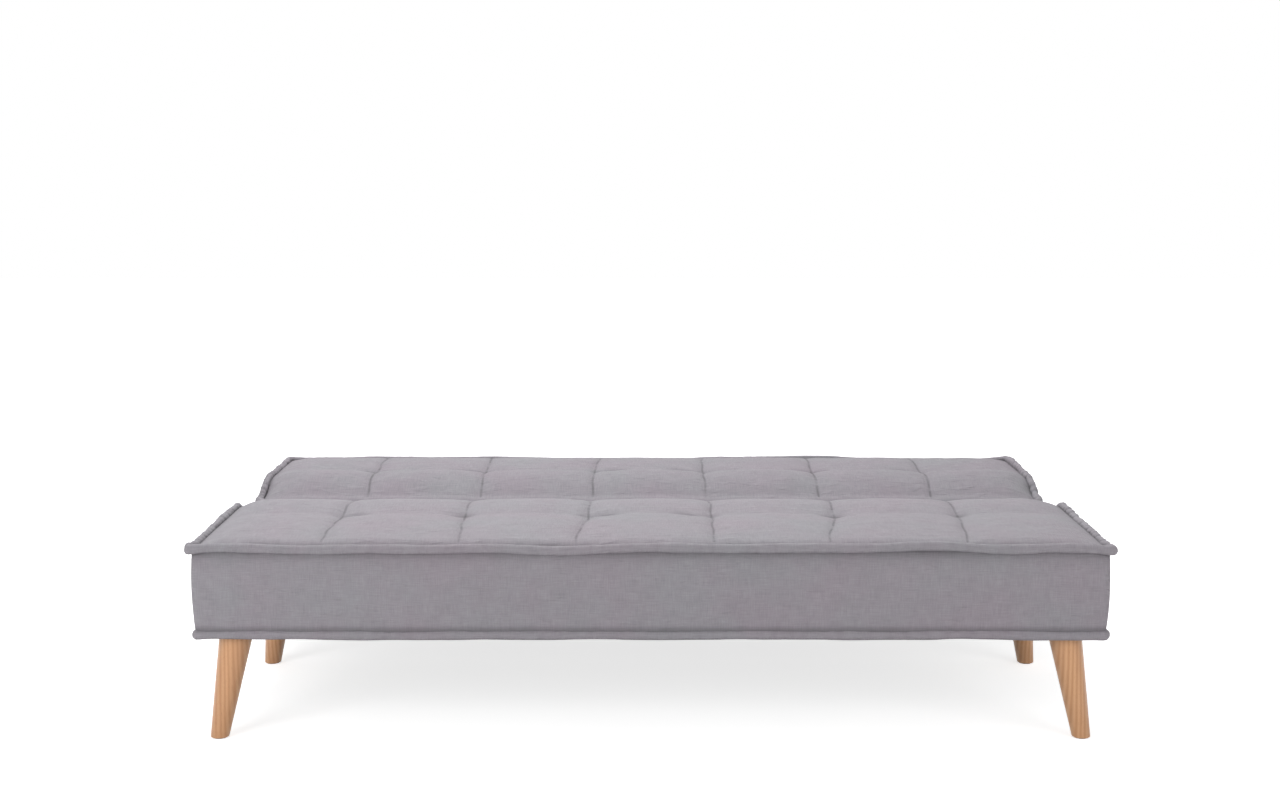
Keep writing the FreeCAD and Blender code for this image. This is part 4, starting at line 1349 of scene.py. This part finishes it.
    def creases(self, across: np.ndarray, out: np.ndarray) -> np.ndarray:
        """How far seams, tufts and gathers draw the cloth down, in metres.

        Args:
            across: X of each point.
            out: Distance out of each point.

        Returns:
            Falls that leave room for the tie under each tuft.
        """
        fall = np.zeros_like(across)
        nearest = np.full_like(across, self.half)
        ends = self.eased(out, 0.05, 0.03)
        fade = 0.55 + 0.45 * np.exp(-(((out - self.middle) / 0.10) ** 2))
        for number, tuft in enumerate(self.tufts):
            beside = across - self.seam_at(tuft, out)
            fall += self.groove * fade * ends * np.exp(-np.abs(beside) / self.groove_reach)
            dx, dy = across - tuft.across, out - self.middle
            reach = np.hypot(dx, dy)
            turn = np.arctan2(dy, dx)
            rays = 0.5 + 0.5 * np.cos(6.0 * turn + number * 1.7 + 0.8 * np.sin(2.0 * turn + number))
            fall += self.ray_depth * np.exp(-reach / self.ray_reach) * rays
            fall += self.dimple_depth * np.exp(-((reach / self.dimple_reach) ** 2))
            fall += self.crease_depth * self.tuck(tuft, across, out)
            nearest = np.minimum(nearest, reach)
        return np.minimum(fall, self.tie_room + self.tie_slope * nearest)

    def tuck(self, tuft: Tuft, across: np.ndarray, out: np.ndarray) -> np.ndarray:
        """How deep in the short crease beside a tuft each point is, from 0 to 1.

        Args:
            tuft: The tuft.
            across: X of each point.
            out: Distance out of each point.

        Returns:
            The depths.
        """
        dx, dy = across - tuft.across, out - self.middle
        bent = dy - self.crease_back - self.crease_bend * np.sin(dx / 0.018)
        crease = np.exp(-((bent / self.crease_half) ** 2))
        return crease * np.exp(-(((dx - tuft.crease_shift) / tuft.crease_width) ** 2))

    def shades(self, across: np.ndarray, out: np.ndarray) -> Pair:
        """Painted shade: how close each point is to a seam, and how deep it lies in folds and dimples, where
        the cloth is painted darker.

        Args:
            across: X of each point.
            out: Distance out of each point.

        Returns:
            Two sets of painted shade amounts from 0 to 1: along the seams, and in folds, dimples and round
            the rim.
        """
        line = np.zeros_like(across)
        fold = np.zeros_like(across)
        ends = self.eased(out, 0.03, 0.012)
        for tuft in self.tufts:
            beside = np.abs(across - self.seam_at(tuft, out))
            line = np.maximum(line, ends * np.clip(1.0 - beside / self.seam_shade_reach, 0.0, 1.0))
            reach = np.hypot(across - tuft.across, out - self.middle)
            soft = self.painted_seam_shade * ends * np.exp(-beside / 0.010)
            soft += self.painted_dimple_shade * np.exp(-((reach / 0.015) ** 2))
            fold = np.maximum(fold, soft + self.painted_crease_shade * self.tuck(tuft, across, out))
        rim = np.clip(self.rim(across, out), 0.0, None)
        return line, np.maximum(fold, self.painted_rim_shade * np.exp(-rim / self.rim_shade))

    def gathers(self, across: np.ndarray, out: np.ndarray) -> np.ndarray:
        """Small folds where the top is sewn to its roll, and loose ripples over the crowns.

        Args:
            across: X of each point.
            out: Distance out of each point.

        Returns:
            Heights to add, in metres.
        """
        rim = self.rim(across, out)
        inside = np.clip(rim, 0.0, None)
        near_rim = np.exp(-inside / self.gather_reach) * smoothed(inside / 0.006)
        folds = Ripples(self.seed + 5, 0.060, 0.022, 18).at(across, out * 0.15)
        side_folds = Ripples(self.seed + 6, 0.050, 0.018, 18).at(out, across * 0.15)
        beside = np.minimum(out - self.near, self.far - out) < self.half_at(out) - np.abs(across)
        loose = Ripples(self.seed + 7, 0.34, 0.09, 20).at(across, out * 1.6)
        return (self.gather_depth * near_rim * np.where(beside, folds, side_folds)
                + self.loose_depth * loose * smoothed(rim / 0.03))

    def body(self, material: Material) -> tuple[Piece, np.ndarray]:
        """Makes the closed pad: tufted top, upright sides, stepped foam and flat floor.

        Args:
            material: The cloth.

        Returns:
            The object and the numbers of its free top points.
        """
        across, out = self.spread()
        top = np.stack([across, out, self.puffs(across, out)], axis=-1)
        patch = Patch()
        lay = np.stack([across, out], axis=-1)
        numbers = patch.grid(self.plan.place(top), lay)
        foam_half = self.plan.half_length - self.foam_set_in
        foam_x = np.clip(across, -foam_half, foam_half)
        foam_out = np.clip(out, self.near + self.foam_hinge_step, self.plan.depth - self.foam_set_in)
        in_notch = (np.abs(foam_x) > self.notch_face) & (foam_out < self.notch_reach)
        foam_x = np.where(in_notch, np.sign(foam_x) * self.notch_face, foam_x)
        floor = np.stack([foam_x, foam_out, np.full_like(out, self.foam_floor)], axis=-1)
        bottom = patch.grid(self.plan.place(floor), lay, flip=True)
        rim = ring(across.shape)
        ring_x, ring_out = across[rim], out[rim]
        sides = [numbers[rim]]
        turns = ((self.hem, ring_x, ring_out), (self.hem + self.hem_step, foam_x[rim], foam_out[rim]))
        for drop, x, y in turns:
            spots = np.stack([x, y, self.plan.side_line(ring_out) - drop], axis=-1)
            sides.append(patch.spots(self.plan.place(spots)) + np.arange(len(spots)))
        sides.append(bottom[rim])
        wall = np.array([np.append(row, row[0]) for row in sides])
        steps = np.concatenate([[0.0], np.cumsum(np.hypot(*np.diff(np.stack([ring_x, ring_out]), axis=1)))])
        steps = np.append(steps, steps[-1] + self.lay_step)
        patch.quads(wall, lay_grid(np.array(self.wall_lay), steps), flip=True)
        return patch.as_object(f"{self.plan.name}_stuffed_top", material), numbers[1:-1, 1:-1].ravel()

    def swell(self, piece: Piece, free: np.ndarray) -> None:
        """Swells the free cloth between its sewn lines with a short cloth simulation.

        Args:
            piece: The closed pad.
            free: Numbers of the points that may move.
        """
        start = coordinates(piece)
        held = np.ones(len(start))
        held[free] = self.sewn_share(start)[free]
        group = piece.vertex_groups.new(name="sewn")
        group.add([int(number) for number in np.nonzero(held)[0]], 1.0, "REPLACE")
        cloth = piece.modifiers.new("swell", "CLOTH")
        cloth.collision_settings.use_collision = False
        cloth.settings.effector_weights.gravity = 0.0
        settings = {"quality": 4, "mass": 0.15, "tension_stiffness": 12.0, "compression_stiffness": 8.0,
                    "shear_stiffness": 5.0, "bending_stiffness": 0.6, "vertex_group_mass": "sewn",
                    "pin_stiffness": 1.0, "shrink_min": -0.012, "use_pressure": True,
                    "uniform_pressure_force": 4.0}
        for name, value in settings.items():
            setattr(cloth.settings, name, value)
        scene = bpy.context.scene
        scene.frame_start, scene.frame_end = 1, self.frames
        for frame in range(1, self.frames + 1):
            scene.frame_set(frame)
        swollen = np.zeros(len(start) * 3, np.float32)
        piece.evaluated_get(bpy.context.evaluated_depsgraph_get()).data.vertices.foreach_get("co", swollen)
        moved = swollen.reshape(-1, 3) - start
        size = np.linalg.norm(moved, axis=1, keepdims=True)
        LOG.info("%s swelled by up to %.1f mm, %.1f mm on average", piece.name, size.max() * 1000.0,
                 size.mean() * 1000.0)
        moved *= np.minimum(1.0, self.most_swell / np.maximum(size, 1e-9))
        piece.modifiers.remove(cloth)
        piece.vertex_groups.clear()
        set_coordinates(piece, start + moved)
        scene.frame_set(1)

    def sewn_share(self, points: np.ndarray) -> np.ndarray:
        """1 for each point that is sewn down at a seam or a tuft, and 0 for the rest.

        Args:
            points: The points, in the row frame.

        Returns:
            The numbers.
        """
        across, out = self.plan.own_frame(points)
        sewn = np.zeros(len(points), bool)
        for tuft in self.tufts:
            sewn |= np.abs(across - self.seam_at(tuft, out)) < self.step * 0.6
            sewn |= np.hypot(across - tuft.across, out - self.middle) < self.sewn_reach
        return sewn.astype(float)

    def finish(self, piece: Piece) -> None:
        """Draws the seams, tufts and gathers into the swollen cloth, and notes where it is painted darker as
        shade.

        Args:
            piece: The closed pad.
        """
        points = coordinates(piece)
        across, out = self.spread()
        panel_x, panel_out = self.plan.own_frame(points[:across.size])
        points[:across.size, 2] += self.gathers(panel_x, panel_out) - self.creases(panel_x, panel_out)
        set_coordinates(piece, points)
        # Painted shade along the seams and in folds, dimples and round the rim, for the cloth's finish to
        # darken.
        line, fold = self.shades(across.ravel(), out.ravel())
        note(piece, "seam", line)
        note(piece, "fold", fold)
        rounder(piece)

    def build(self, material: Material) -> Piece:
        """Builds, swells and dresses the top and gives it its place.

        Args:
            material: The cloth.

        Returns:
            The finished piece.
        """
        piece, free = self.body(material)
        self.swell(piece, free)
        self.finish(piece)
        name = self.plan.name
        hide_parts(f"{name}_cover", f"{name}_foam")
        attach(piece, name)
        LOG.info("%s: %d points", piece.name, len(piece.data.vertices))
        return piece


@dataclass
class StuffedRoll:
    """A stuffed roll of cloth round the top or the foot of one box."""

    plan: BoxPlan
    level: Level
    seed: int
    radius: float = 0.009
    foot_set_in: float = 0.004
    foot_height: float = 0.210
    foot_wave: float = 0.35
    foot_ears: float = 0.4
    step: float = 0.0045
    around: int = 22
    wave: float = 0.0030
    swelling: float = 0.0005
    pucker: float = 0.0016
    end_pucker: float = 0.12
    flattening: float = 0.05
    ear_reach: float = 0.0110
    ear_fullness: float = 0.0016
    ear_room: float = 0.013
    ear_size: float = 0.011
    # Painted shade on the roll's underside and inner side.
    shade_width: float = 0.55
    painted_inward_shade: float = 0.52
    painted_beneath_shade: float = 0.66

    def line(self) -> tuple[np.ndarray, np.ndarray, np.ndarray]:
        """Middle line of the roll, the way outwards and the distance along it.

        Returns:
            Points, ways and distances, with the closing point left off all but the last.
        """
        walk = self.plan.whole(self.step)
        set_in = self.radius + (self.foot_set_in if self.level is Level.BOTTOM else 0.0)
        spots = walk.inset(set_in)
        if self.level is Level.TOP:
            height = self.plan.side_line(spots[:, 1])
        else:
            height = np.full(len(spots), self.foot_height)
        return np.column_stack([spots, height])[:-1], walk.outward[:-1], walk.along

    def ears(self, line: np.ndarray) -> np.ndarray:
        """How close each spot is to one of the two far corners, from 0 to 1."""
        beside = np.abs(line[:, 0]) - self.plan.half_length + self.ear_room
        return np.exp(-np.hypot(beside, line[:, 1] - self.plan.depth + self.ear_room) / self.ear_size)

    @staticmethod
    def ways(line: np.ndarray, outward: np.ndarray) -> Pair:
        """The ways outwards and upwards across the roll.

        Args:
            line: Its middle line.
            outward: The ways outwards in the plan.

        Returns:
            Two unit vectors for each spot of the line.
        """
        tangent = np.roll(line, -1, axis=0) - np.roll(line, 1, axis=0)
        tangent /= np.linalg.norm(tangent, axis=1, keepdims=True)
        flat_out = np.column_stack([outward, np.zeros(len(line))])
        upward = np.cross(flat_out, tangent)
        return flat_out, upward / np.linalg.norm(upward, axis=1, keepdims=True)

    def build(self, material: Material) -> Piece:
        """Builds the roll with its slack, gathers and corner ears, and painted shade on its underside, its
        inner side and in its puckers.

        Args:
            material: The cloth.

        Returns:
            The finished piece.
        """
        line, outward, along = self.line()
        on_top = self.level is Level.TOP
        length = along[-1]
        lap = along[:-1] / length * FULL_TURN
        circle = length / FULL_TURN
        ripple_x, ripple_y = np.cos(lap) * circle, np.sin(lap) * circle
        from_hinge = smoothed((line[:, 1] - 0.03) / 0.12)
        slack = Ripples(self.seed, 0.62, 0.20, 8).at(ripple_x, ripple_y)
        line[:, 2] += self.wave * slack * from_hinge * (1.0 if on_top else self.foot_wave)
        ears = self.ears(line) * (1.0 if on_top else self.foot_ears)
        line[:, :2] += outward * (self.ear_reach * ears)[:, None]
        flat_out, upward = self.ways(line, outward)
        angle = np.linspace(0.0, FULL_TURN, self.around, endpoint=False)
        spot, turn = np.meshgrid(np.arange(len(line)), angle, indexing="ij")
        swell = Ripples(self.seed + 1, 0.24, 0.07, 10).at(ripple_x, ripple_y)[:, None]
        gathers = Ripples(self.seed + 2, 0.030, 0.010, 16).at(ripple_x[:, None] + 0.004 * np.sin(turn),
                                                              ripple_y[:, None] + 0.004 * np.cos(turn))
        side = np.abs(flat_out[:, :1])
        gathered = self.pucker * (self.end_pucker + (1.0 - self.end_pucker) * side) * gathers
        radius = self.radius + self.swelling * swell * from_hinge[:, None] + gathered
        radius = (radius + self.ear_fullness * ears[:, None]) * (1.0 - self.flattening * np.cos(2.0 * turn))
        round_it = np.cos(turn)[..., None] * flat_out[spot] + np.sin(turn)[..., None] * upward[spot]
        patch = Patch()
        lay = lay_grid(along, np.linspace(0.0, FULL_TURN * self.radius, self.around + 1))
        points = line[spot] + radius[..., None] * round_it
        patch.grid(self.plan.place(points), lay, round_rows=True, round_columns=True)
        name = self.plan.name
        piece = patch.as_object(f"{name}_{self.level.value}_stuffed_roll", material)
        # Painted shade: darker on the underside, on the inner side and in pinched puckers, where the roll
        # lies in shade.
        beneath = np.exp(-(((turn - 1.5 * math.pi) / self.shade_width) ** 2))
        inward = np.exp(-(((turn - math.pi) / self.shade_width) ** 2))
        painted_pucker_shade = (0.08 + 0.42 * side) * np.clip(-gathers, 0.0, 1.0)
        note(piece, "fold", painted_pucker_shade + self.painted_inward_shade * inward + self.painted_beneath_shade * beneath)
        rounder(piece)
        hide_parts(f"{name}_{self.level.value}_roll")
        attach(piece, name)
        LOG.info("%s: %.2f m long", piece.name, length)
        return piece


@dataclass
class BoxCloth:
    """The stretched wall of cloth between the rolls of one box, in the lengths it is cut to."""

    plan: BoxPlan
    seed: int
    thickness: float = 0.0016
    foot: float = 0.2188
    bulge_height: float = 0.2925
    foot_set_in: float = 0.008
    bulge_set_in: float = 0.004
    top_set_in: float = 0.007
    under_roll: float = 0.0093
    tuck: float = 0.0045
    tuck_share: float = 0.05
    tuck_set_in: float = 0.0012
    seam_set_in: float = 0.0012
    slack: float = 0.0009
    drag: float = 0.0003
    pucker: float = 0.00055
    # Painted shade just under the top roll and just above the foot.
    painted_wall_shade: float = 0.95
    top_shade: float = 0.0085
    foot_shade: float = 0.0072
    step: float = 0.0075
    rows: int = 26
    side_start: float = -24.8
    hinge_reach: float = -55.2

    def set_in(self, height: np.ndarray) -> np.ndarray:
        """How far in the cloth hangs at a height, least at its bulge.

        Args:
            height: Heights of its points.

        Returns:
            Distances in from the plan.
        """
        low, mid, high = self.foot, self.bulge_height, self.plan.roll_height
        first = (height - mid) * (height - high) / ((low - mid) * (low - high))
        second = (height - low) * (height - high) / ((mid - low) * (mid - high))
        third = (height - low) * (height - mid) / ((high - low) * (high - mid))
        return self.foot_set_in * first + self.bulge_set_in * second + self.top_set_in * third

    def rumpled(self, walk: Walk, height: np.ndarray, seed: int, seamed: bool) -> np.ndarray:
        """How far in the cloth hangs with its slack, drags, puckers and turned-in ends.

        Args:
            walk: The line it follows.
            height: Heights of its points, one row per spot of the walk.
            seed: Seed of its ripples.
            seamed: Whether its upright ends are turned in and sewn.

        Returns:
            Distances in from the plan.
        """
        share = np.linspace(0.0, 1.0, self.rows)[None, :]
        along = walk.along[:, None]
        edge = np.minimum(along, walk.along[-1] - along)
        slack = Ripples(seed, 0.50, 0.10, 16).at(along, height * 1.4)
        drags = Ripples(seed + 1, 0.10, 0.035, 12).at(along + height * 0.5, height * 0.3)
        calm = smoothed(edge / 0.04) * smoothed(share / 0.15) * smoothed((1.0 - share) / 0.12)
        set_in = self.set_in(height) - (self.slack * slack + self.drag * drags) * (0.25 + 0.75 * calm)
        puckers = Ripples(seed + 2, 0.034, 0.014, 14).at(along, np.zeros_like(height))
        set_in = set_in + self.pucker * puckers * (np.exp(-share * 14.0) + np.exp(-(1.0 - share) * 14.0))
        return set_in + self.seam_set_in * np.exp(-edge / 0.0025) if seamed else set_in

    def piece(self, name: str, walk: Walk, material: Material, replaced: str, seed: int,
              seamed: bool) -> Piece:
        """Builds one length of the wall as a thin closed cloth, painted darker as shade under the top roll
        and above the foot.

        Args:
            name: The piece's name.
            walk: The line it follows.
            material: The cloth.
            replaced: The node it stands for.
            seed: Seed of its ripples.
            seamed: Whether its upright ends are turned in and sewn.

        Returns:
            The finished piece.
        """
        share = np.linspace(0.0, 1.0, self.rows)
        top = self.plan.side_line(walk.spots[:, 1]) - self.under_roll
        height = self.foot + share[None, :] * (top[:, None] - self.foot)
        set_in = self.rumpled(walk, height, seed, seamed)
        low_tuck = np.clip(1.0 - share / self.tuck_share, 0.0, 1.0)
        high_tuck = np.clip(1.0 - (1.0 - share) / self.tuck_share, 0.0, 1.0)
        height = height + self.tuck * (high_tuck - low_tuck)[None, :]
        set_in = set_in + self.tuck_set_in * (low_tuck + high_tuck)[None, :]
        patch = Patch()
        lay = lay_grid(walk.along, share * (self.plan.roll_height - self.foot))
        faces = []
        for extra in (0.0, self.thickness):
            spots = walk.spots[:, None, :] - walk.outward[:, None, :] * (set_in + extra)[..., None]
            points = np.concatenate([spots, height[..., None]], axis=-1)
            faces.append(patch.grid(self.plan.place(points), lay, flip=extra > 0.0))
        close_cloth(patch, *faces)
        piece = patch.as_object(name, material)
        # Painted shade: darker just under the top roll and just above the foot, where the rolls shade the
        # wall.
        under = np.clip((top[:, None] - height) / self.top_shade, 0.0, None)
        over = np.clip((height - self.foot) / self.foot_shade, 0.0, None)
        note(piece, "fold", self.painted_wall_shade * (np.exp(-under) + np.exp(-over**2)))
        rounder(piece)
        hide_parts(replaced)
        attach(piece, self.plan.name)
        return piece

    def build(self, material: Material) -> list[Piece]:
        """Builds every length of the box's wall.

        Args:
            material: The cloth.

        Returns:
            The finished pieces.
        """
        name, plan, step = self.plan.name, self.plan, self.step
        first, second = SIDES if plan.turned else SIDES[::-1]
        cuts = (
            ("outer", "outer_band", plan.far_side(step), 0, True),
            ("hinge", "hinge_band", plan.hinge_side(step, self.hinge_reach), 10, False),
            (f"{first}_side", "side_bands", plan.right_side(step, self.side_start), 20, True),
            (f"{second}_side", "side_bands", plan.left_side(step, self.side_start), 30, True),
        )
        return [
            self.piece(f"{name}_{cut}_cloth", Walk.through(runs), material, f"{name}_{band}",
                       self.seed + more, seamed)
            for cut, band, runs, more, seamed in cuts
        ]


@dataclass
class DustSheet:
    """The stapled dust cover under one box."""

    plan: BoxPlan
    seed: int
    set_in: float = 0.0208
    level: float = 0.2046
    thickness: float = 0.0006
    sag: float = 0.0016
    slack: float = 0.0008
    pull: float = 0.0002
    leg_across: float = 0.819
    leg_out: float = 0.226
    leg_room: float = 0.04
    corner_share: float = 0.43
    corner_spots: int = 9
    step: float = 0.012

    def build(self, cloth: Material) -> Piece:
        """Builds the sheet with its slack and pulls.

        Args:
            cloth: The dust cloth.

        Returns:
            The finished piece.
        """
        plan = self.plan
        half = plan.half_length - self.set_in
        near, far = plan.hinge_gap + self.set_in, plan.depth - self.set_in
        radius = plan.hinge_radius - self.set_in
        corner = near + radius * (1.0 - np.cos(np.linspace(0.0, math.pi / 2.0, self.corner_spots)))
        rest = np.linspace(corner[-1], far, math.ceil((far - corner[-1]) / self.step) + 1)[1:]
        base = np.linspace(-half, half, math.ceil(2.0 * half / self.step) + 1)
        across, out = np.meshgrid(base, np.concatenate([corner, rest]), indexing="ij")
        across = drawn_in(across, half, half - bite(radius, out - near))
        rim = np.minimum(np.minimum(out - near, far - out), half - np.abs(across))
        from_leg = np.hypot(np.abs(across) - self.leg_across, np.abs(out - plan.depth / 2.0) - self.leg_out)
        clear = smoothed((from_leg - self.leg_room) / 0.05)
        slack = Ripples(self.seed, 0.40, 0.10, 14).at(across, out)
        pulls = Ripples(self.seed + 1, 0.06, 0.03, 10).at(across, out)
        level = self.level - smoothed(rim / 0.08) * clear * (self.sag + self.slack * slack)
        level = level - self.pull * pulls * smoothed(rim / 0.01) * clear
        patch = Patch()
        lay = np.stack([across, out], axis=-1)
        faces = []
        for lift, flip in ((self.thickness, False), (-self.thickness / 2.0, True)):
            points = np.stack([across, out, level + lift], axis=-1)
            faces.append(patch.grid(plan.place(points), lay, flip))
        close_cloth(patch, *faces)
        piece = patch.as_object(f"{plan.name}_dust_sheet", cloth)
        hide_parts(f"{plan.name}_dust_cover")
        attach(piece, plan.name)
        LOG.info("%s: built", piece.name)
        return piece


@dataclass
class UpholsteredBox:
    """Everything soft on one box."""

    plan: BoxPlan
    tufts: tuple[Tuft, ...]
    seed: int

    def build(self, linen: Material, dust: Material) -> None:
        """Builds the top, the rolls, the wall cloth and the dust sheet.

        Args:
            linen: The upholstery cloth.
            dust: The dust cloth.
        """
        TuftedTop(self.plan, self.tufts, self.seed).build(linen)
        StuffedRoll(self.plan, Level.TOP, self.seed + 100).build(linen)
        StuffedRoll(self.plan, Level.BOTTOM, self.seed + 200, pucker=0.0006).build(linen)
        BoxCloth(self.plan, self.seed + 300).build(linen)
        DustSheet(self.plan, self.seed + 400).build(dust)


# Pieces that keep their shape and get a finish


@dataclass
class FramePieces:
    """The timber, springs, fixings, legs and plates, which keep their shapes."""

    nodes: dict[str, bpy.types.Object]

    def dress(self, material: Material, *names: str) -> None:
        """Gives nodes a finish.

        Args:
            material: The finish.
            names: The nodes.
        """
        for name in names:
            slots = self.nodes[name].data.materials
            slots.clear()
            slots.append(material)
            LOG.info("%s: %s", name, material.name)

    def build(self) -> None:
        """Dresses every node that stays."""
        along_x = FrameTimber(Grain.ALONG_X).material()
        along_y = FrameTimber(Grain.ALONG_Y).material()
        upright = FrameTimber(Grain.UPRIGHT).material()
        zinc = BareSteel("zinc_steel", (206, 204, 196), (168, 166, 158), 0.42).material()
        wire = BareSteel("spring_wire", (122, 118, 112), (84, 80, 76), 0.5, stained=0.45).material()
        clips = BareSteel("clip_steel", (186, 188, 190), (150, 152, 154), 0.5).material()
        plates = PaintedSteel().material()
        felt = Felt().material()
        twine = Twine().material()
        for box in ("seat", "back"):
            self.dress(along_x, f"{box}_hinge_rail", f"{box}_outer_rail")
            self.dress(along_y, f"{box}_end_rails", f"{box}_cross_bearers")
            self.dress(upright, f"{box}_corner_blocks")
            self.dress(wire, f"{box}_springs")
            self.dress(clips, f"{box}_spring_clips")
            self.dress(felt, f"{box}_spring_pad")
            self.dress(twine, f"{box}_tuft_ties")
            self.dress(zinc, f"{box}_hinge_bolts", f"{box}_hinge_nuts")
        legs = [f"{row}_{side}_leg" for row in ("front", "rear") for side in SIDES]
        self.dress(TurnedWood().material(), *legs)
        self.dress(GlidePlastic().material(), "leg_glides")
        self.dress(zinc, "leg_bolts", "leg_inserts")
        for side in SIDES:
            self.dress(plates, f"{side}_seat_arm", f"{side}_back_arm", f"{side}_keeper_plate", f"{side}_pawl")
            self.dress(zinc, f"{side}_pivot_pin", f"{side}_pawl_pin")
            self.dress(wire, f"{side}_pawl_spring")


# Studio


@dataclass(frozen=True)
class SoftLamp:
    """One large square lamp."""

    name: str
    place: Triple
    target: Triple
    size: float
    power: float

    def build(self) -> Piece:
        """Hangs the lamp and points it at its target.

        Returns:
            The lamp, linked to the scene.
        """
        light = bpy.data.lights.new(self.name, "AREA")
        light.shape = "SQUARE"
        light.size = self.size
        light.energy = self.power
        lamp = bpy.data.objects.new(self.name, light)
        lamp.location = self.place
        lamp.rotation_euler = (Vector(self.target) - Vector(self.place)).to_track_quat("-Z", "Y").to_euler()
        bpy.context.scene.collection.objects.link(lamp)
        return lamp


@dataclass
class Studio:
    """Pale floor, soft lamps, white surroundings and the camera."""

    floor_reach: float = 12.0
    floor_level: float = -0.0005
    floor_glow: float = 0.72
    surround: float = 0.36
    lamps: tuple[SoftLamp, ...] = (
        SoftLamp("overhead", (-0.6, 1.5, 3.6), (0.0, -0.2, 0.35), 2.6, 128.0),
        SoftLamp("front_left", (-2.6, -3.2, 1.9), (0.0, -0.3, 0.3), 2.0, 54.0),
        SoftLamp("front_right", (2.8, -2.8, 1.6), (0.0, 0.0, 0.3), 2.0, 26.0),
    )
    camera_place: Triple = (-0.0208, -3.882, 1.153)
    camera_pitch: float = 8.08
    lens: float = 50.3
    sensor: float = 36.0

    def floor(self) -> None:
        """Lays the pale floor, which keeps the shadow."""
        bench = Bench("studio_floor")
        tree = bench.tree
        tree.nodes.remove(bench.shader)
        grain = bench.noise(bench.place(), 3.0, 3.0)
        diffuse = bench.node("ShaderNodeBsdfDiffuse")
        bench.join(bench.mixed(bench.between(grain, 0.3, 0.7), shade(238, 238, 238), shade(242, 242, 242)),
                   diffuse.inputs["Color"])
        glow = bench.node("ShaderNodeEmission")
        bench.join(self.seen(bench, 0.0, self.floor_glow), glow.inputs["Strength"])
        both = bench.node("ShaderNodeAddShader")
        bench.join(diffuse.outputs[0], both.inputs[0])
        bench.join(glow.outputs[0], both.inputs[1])
        bench.join(both.outputs[0], tree.nodes["Material Output"].inputs["Surface"])
        patch = Patch()
        ends = np.linspace(-self.floor_reach, self.floor_reach, 5)
        flat = lay_grid(ends, ends)
        patch.grid(np.concatenate([flat, np.full_like(flat[..., :1], self.floor_level)], axis=-1), flat)
        patch.as_object("studio_floor", bench.material)

    @staticmethod
    def seen(bench: Wiring, hidden: float, shown: float) -> Socket:
        """One value for rays from the camera, gloss and glass, and another for the rest.

        Args:
            bench: Where the nodes go.
            hidden: Value for the rays that light the object.
            shown: Value for the rays that see.

        Returns:
            The value.
        """
        path = bench.node("ShaderNodeLightPath")
        either = bench.step("MAXIMUM", path.outputs["Is Camera Ray"], path.outputs["Is Glossy Ray"])
        either = bench.step("MAXIMUM", either, path.outputs["Is Transmission Ray"])
        return bench.between(either, 0.0, 1.0, hidden, shown)

    def world(self) -> None:
        """Sets the even white surroundings."""
        world = bpy.data.worlds.new("studio")
        world.use_nodes = True
        bpy.context.scene.world = world
        background = world.node_tree.nodes["Background"]
        background.inputs["Color"].default_value = (1.0, 1.0, 1.0, 1.0)
        wiring = Wiring(world.node_tree)
        wiring.join(self.seen(wiring, self.surround, 1.0), background.inputs["Strength"])

    def camera(self) -> None:
        """Sets up the camera at the photograph's angle."""
        data = bpy.data.cameras.new("studio_camera")
        data.lens = self.lens
        data.sensor_width = self.sensor
        camera = bpy.data.objects.new("studio_camera", data)
        camera.location = self.camera_place
        camera.rotation_euler = (math.radians(90.0 - self.camera_pitch), 0.0, 0.0)
        bpy.context.scene.collection.objects.link(camera)
        bpy.context.scene.camera = camera

    def build(self) -> None:
        """Builds the whole studio."""
        self.floor()
        self.world()
        for lamp in self.lamps:
            lamp.build()
        self.camera()
        bpy.context.scene.view_settings.view_transform = "Standard"
        LOG.info("studio: built")


def main() -> None:
    """Builds the looks in order."""
    logging.basicConfig(level=logging.INFO, format="%(name)s: %(message)s")
    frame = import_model()
    linen = SlubLinen().material()
    # Painted shade: the back box's cloth is the same linen tinted a little darker, to darken the back box,
    # which the lamps light too brightly.
    shaded_back_linen = SlubLinen(warm=(154.0, 147.0, 154.5), cool=(152.0, 150.0, 155.0)).material()
    dust = DustCloth().material()
    seat_tufts = (
        Tuft(-0.6429, 0.024, -0.004, 0.014),
        Tuft(-0.3857, 0.036, 0.006, 0.024),
        Tuft(-0.1286, 0.004, 0.045, 0.038),
        Tuft(0.1286, 0.017, -0.038, 0.026),
        Tuft(0.3857, -0.012, 0.010, 0.022),
        Tuft(0.6429, 0.0, -0.029, 0.024),
    )
    back_tufts = (
        Tuft(-0.6429, 0.0, -0.006, 0.018),
        Tuft(-0.3857, 0.0, -0.031, 0.028),
        Tuft(-0.1286, 0.010, 0.041, 0.028),
        Tuft(0.1286, 0.0, -0.045, 0.030),
        Tuft(0.3857, 0.0, -0.009, 0.034),
        Tuft(0.6429, 0.0, -0.042, 0.030),
    )
    seat_plan = BoxPlan("seat", depth=0.570, far_radius=0.022, turned=True)
    back_plan = BoxPlan("back", depth=0.430, far_radius=0.034, turned=False)
    UpholsteredBox(seat_plan, seat_tufts, 11).build(linen, dust)
    UpholsteredBox(back_plan, back_tufts, 23).build(shaded_back_linen, dust)
    FramePieces(frame["nodes"]).build()
    Studio().build()


if __name__ == "__main__":
    main()
